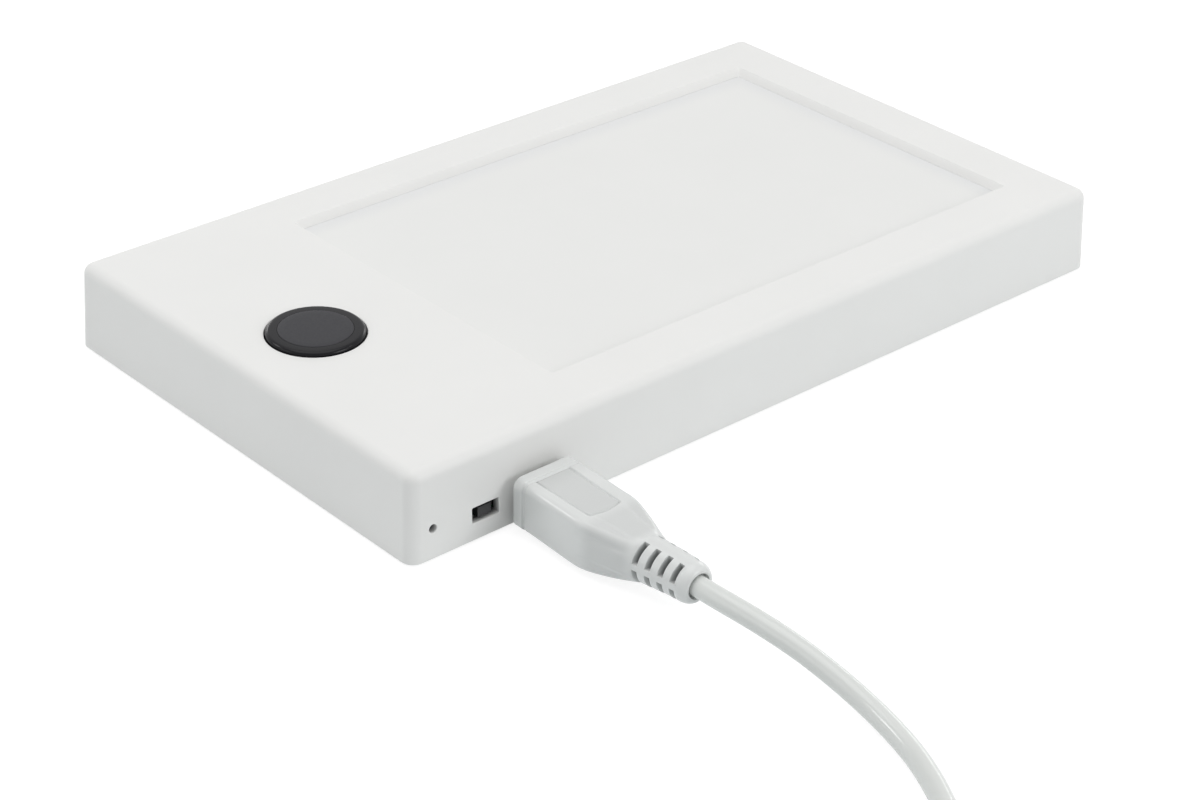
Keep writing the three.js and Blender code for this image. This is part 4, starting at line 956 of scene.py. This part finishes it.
def far_grip_rings():
    """A ribbed round strain relief that grows into a rounded rectangle by an eased ramp, and a flat front
    with the shell's pocket in it. The ribs are a sine of the distance along the relief."""
    rows = [(0.6, 1.3, 1.3, 1.3), (0.5, 1.85, 1.85, 1.85), (0, 1.95, 1.95, 1.95)]
    for turn in np.linspace(0, math.pi / 2, 6):
        radius = 2.1 + 0.4 * math.sin(turn)
        rows.append((0.4 * (1 - math.cos(turn)), radius, radius, radius))
    for distance in np.arange(0.6, 8.8, 0.15):
        rib = rib_depth * (0.5 + 0.5 * math.sin(distance * 2 * math.pi / rib_step))
        radius = 2.45 + 0.05 * distance - rib
        rows.append((distance, radius, radius, radius))
    for share in np.linspace(0, 1, 22):
        eased = smooth_step(share)
        grown = [far_relief_radius + (end - far_relief_radius) * eased for end in (*far_half, far_corner)]
        rows.append((far_taper_start + far_taper_length * share, *grown))
    rows.append((far_front - 0.5, *far_half, far_corner))
    rows += arc_rows(far_front - 0.5, far_front, far_half, far_corner, 6, -1)
    rows += [(far_front, 6.08, 2.33, 0.4), (27.9, 6.08, 2.33, 0.4)]
    return sectioned(rows, even_angles(120))


far_grip_points = plug_place(far_grip_rings(), far_place, far_heading)
far_grip = mesh_piece(
    "large_plug_grip", [(far_grip_points, ring_faces(*far_grip_points.shape[:2]))], crease=40)
place_piece(far_grip, grip_vinyl, "charging_cord", "cord_plastic", "usb_a_grip")


def far_shell_rings():
    """A folded steel sleeve: out along the outside to a softly rounded mouth, and back along the inside."""
    return sectioned([
        (28.1, 5.7, 1.95, 0.2), (28.1, 6, 2.25, 0.45), (50.4, 6, 2.25, 0.45), (50.6, 5.92, 2.17, 0.4),
        (50.6, 5.78, 2.03, 0.3), (50.4, 5.7, 1.95, 0.25), (33.6, 5.7, 1.95, 0.25),
    ], even_angles(96))


def square_cutter(x, distance, half):
    """Two upright square bars, one through each broad side of the shell."""
    corners = np.array([(-1, -1), (1, -1), (1, 1), (-1, 1)]) * half + (x, distance)
    bars = []
    for levels in ((1.9, 2.8), (-2.8, -1.9)):
        bars.append(np.array([np.column_stack([corners, np.full(4, level)]) for level in levels]))
    return bars


far_shell_points = plug_place(far_shell_rings(), far_place, far_heading)
far_shell = mesh_piece("large_plug_shell", [(far_shell_points, ring_faces(*far_shell_points.shape[:2]))])
shell_holes = [
    plug_place(bar, far_place, far_heading) for x in (-2.9, 2.9) for bar in square_cutter(x, 41.2, 1.15)]
cut_away(far_shell, shell_holes, crease=32)
even_normals(far_shell)
place_piece(far_shell, plug_steel, "charging_cord", "steel", "usb_a_shell")
dress(white_nylon, "usb_a_tongue")

# Floor and light. A wide pale floor that the camera sees as white but for the lamp's soft shadow, and an
# even pale sky. Seven soft lights face the lamp: a broad one overhead, a box low on each side of the
# camera's view, two small gleams mirrored in the button's rim, and two strips behind.
floor_half = 4.0


def lit_or_seen(tree, lit, seen):
    """Mixes two shaders by the kind of ray: lit for light that bounces, seen for rays from the camera, from
    glossy surfaces and through clear ones."""
    path = tree.nodes.new("ShaderNodeLightPath")
    first = tree.nodes.new("ShaderNodeMath")
    first.operation = "MAXIMUM"
    second = tree.nodes.new("ShaderNodeMath")
    second.operation = "MAXIMUM"
    tree.links.new(path.outputs["Is Camera Ray"], first.inputs[0])
    tree.links.new(path.outputs["Is Glossy Ray"], first.inputs[1])
    tree.links.new(first.outputs["Value"], second.inputs[0])
    tree.links.new(path.outputs["Is Transmission Ray"], second.inputs[1])
    mix = tree.nodes.new("ShaderNodeMixShader")
    tree.links.new(second.outputs["Value"], mix.inputs["Fac"])
    tree.links.new(lit, mix.inputs[1])
    tree.links.new(seen, mix.inputs[2])
    return mix.outputs["Shader"]


floor = mesh_piece("floor", [([
    (-floor_half / MM, -floor_half / MM, 0), (floor_half / MM, -floor_half / MM, 0),
    (floor_half / MM, floor_half / MM, 0), (-floor_half / MM, floor_half / MM, 0),
], [[0, 1, 2, 3]])])
floor_paint = bpy.data.materials.new("pale floor")
floor_paint.use_nodes = True
floor_tree = floor_paint.node_tree
floor_tree.nodes.remove(floor_tree.nodes["Principled BSDF"])
lit_floor = floor_tree.nodes.new("ShaderNodeBsdfDiffuse")
lit_floor.inputs["Color"].default_value = (0.83, 0.86, 0.87, 1)
shadow_floor = floor_tree.nodes.new("ShaderNodeBsdfDiffuse")
shadow_floor.inputs["Color"].default_value = (0.3, 0.3, 0.3, 1)
glow = floor_tree.nodes.new("ShaderNodeEmission")
glow.inputs["Strength"].default_value = 0.85
seen_floor = floor_tree.nodes.new("ShaderNodeAddShader")
floor_tree.links.new(shadow_floor.outputs["BSDF"], seen_floor.inputs[0])
floor_tree.links.new(glow.outputs["Emission"], seen_floor.inputs[1])
floor_tree.links.new(
    lit_or_seen(floor_tree, lit_floor.outputs["BSDF"], seen_floor.outputs["Shader"]),
    floor_tree.nodes["Material Output"].inputs["Surface"],
)
floor.data.materials.append(floor_paint)

world = bpy.data.worlds.new("studio")
bpy.context.scene.world = world
world.use_nodes = True
world_tree = world.node_tree
sky = world_tree.nodes["Background"]
sky.inputs["Color"].default_value = (1, 1, 1, 1)
sky.inputs["Strength"].default_value = 0.36
backdrop = world_tree.nodes.new("ShaderNodeBackground")
backdrop.inputs["Color"].default_value = (1, 1, 1, 1)
backdrop.inputs["Strength"].default_value = 1.0
world_tree.links.new(
    lit_or_seen(world_tree, sky.outputs["Background"], backdrop.outputs["Background"]),
    world_tree.nodes["World Output"].inputs["Surface"],
)


def soft_light(name, place, size, watts):
    """A rectangular light at the place, facing the middle of the lamp's foot."""
    data = bpy.data.lights.new(name, "AREA")
    data.shape = "RECTANGLE"
    data.size, data.size_y = size
    data.energy = watts
    lamp = bpy.data.objects.new(name, data)
    bpy.context.scene.collection.objects.link(lamp)
    away = np.array(place) / np.linalg.norm(place)
    side = np.cross([0, 0, 1], away)
    side /= np.linalg.norm(side)
    upward = np.cross(away, side)
    axes = np.column_stack([side, upward, away, place])
    lamp.matrix_world = Matrix([*axes.tolist(), [0, 0, 0, 1]])


soft_light("overhead", (-0.05, 0.05, 0.9), (0.9, 0.9), 3.9)
soft_light("left box", (-0.92, 0.3, 0.42), (0.5, 0.5), 0.85)
soft_light("right box", (0.3, -0.88, 0.42), (0.45, 0.45), 2.75)
soft_light("left gleam", (-0.48, 0.64, 0.6), (0.22, 0.22), 1.1)
soft_light("right gleam", (0.64, -0.47, 0.61), (0.15, 0.15), 0.5)
soft_light("back left strip", (0.22, 0.95, 0.27), (0.3, 0.12), 0.5)
soft_light("back right strip", (0.92, 0.3, 0.27), (0.3, 0.12), 0.5)

bpy.context.scene.view_settings.view_transform = "Standard"
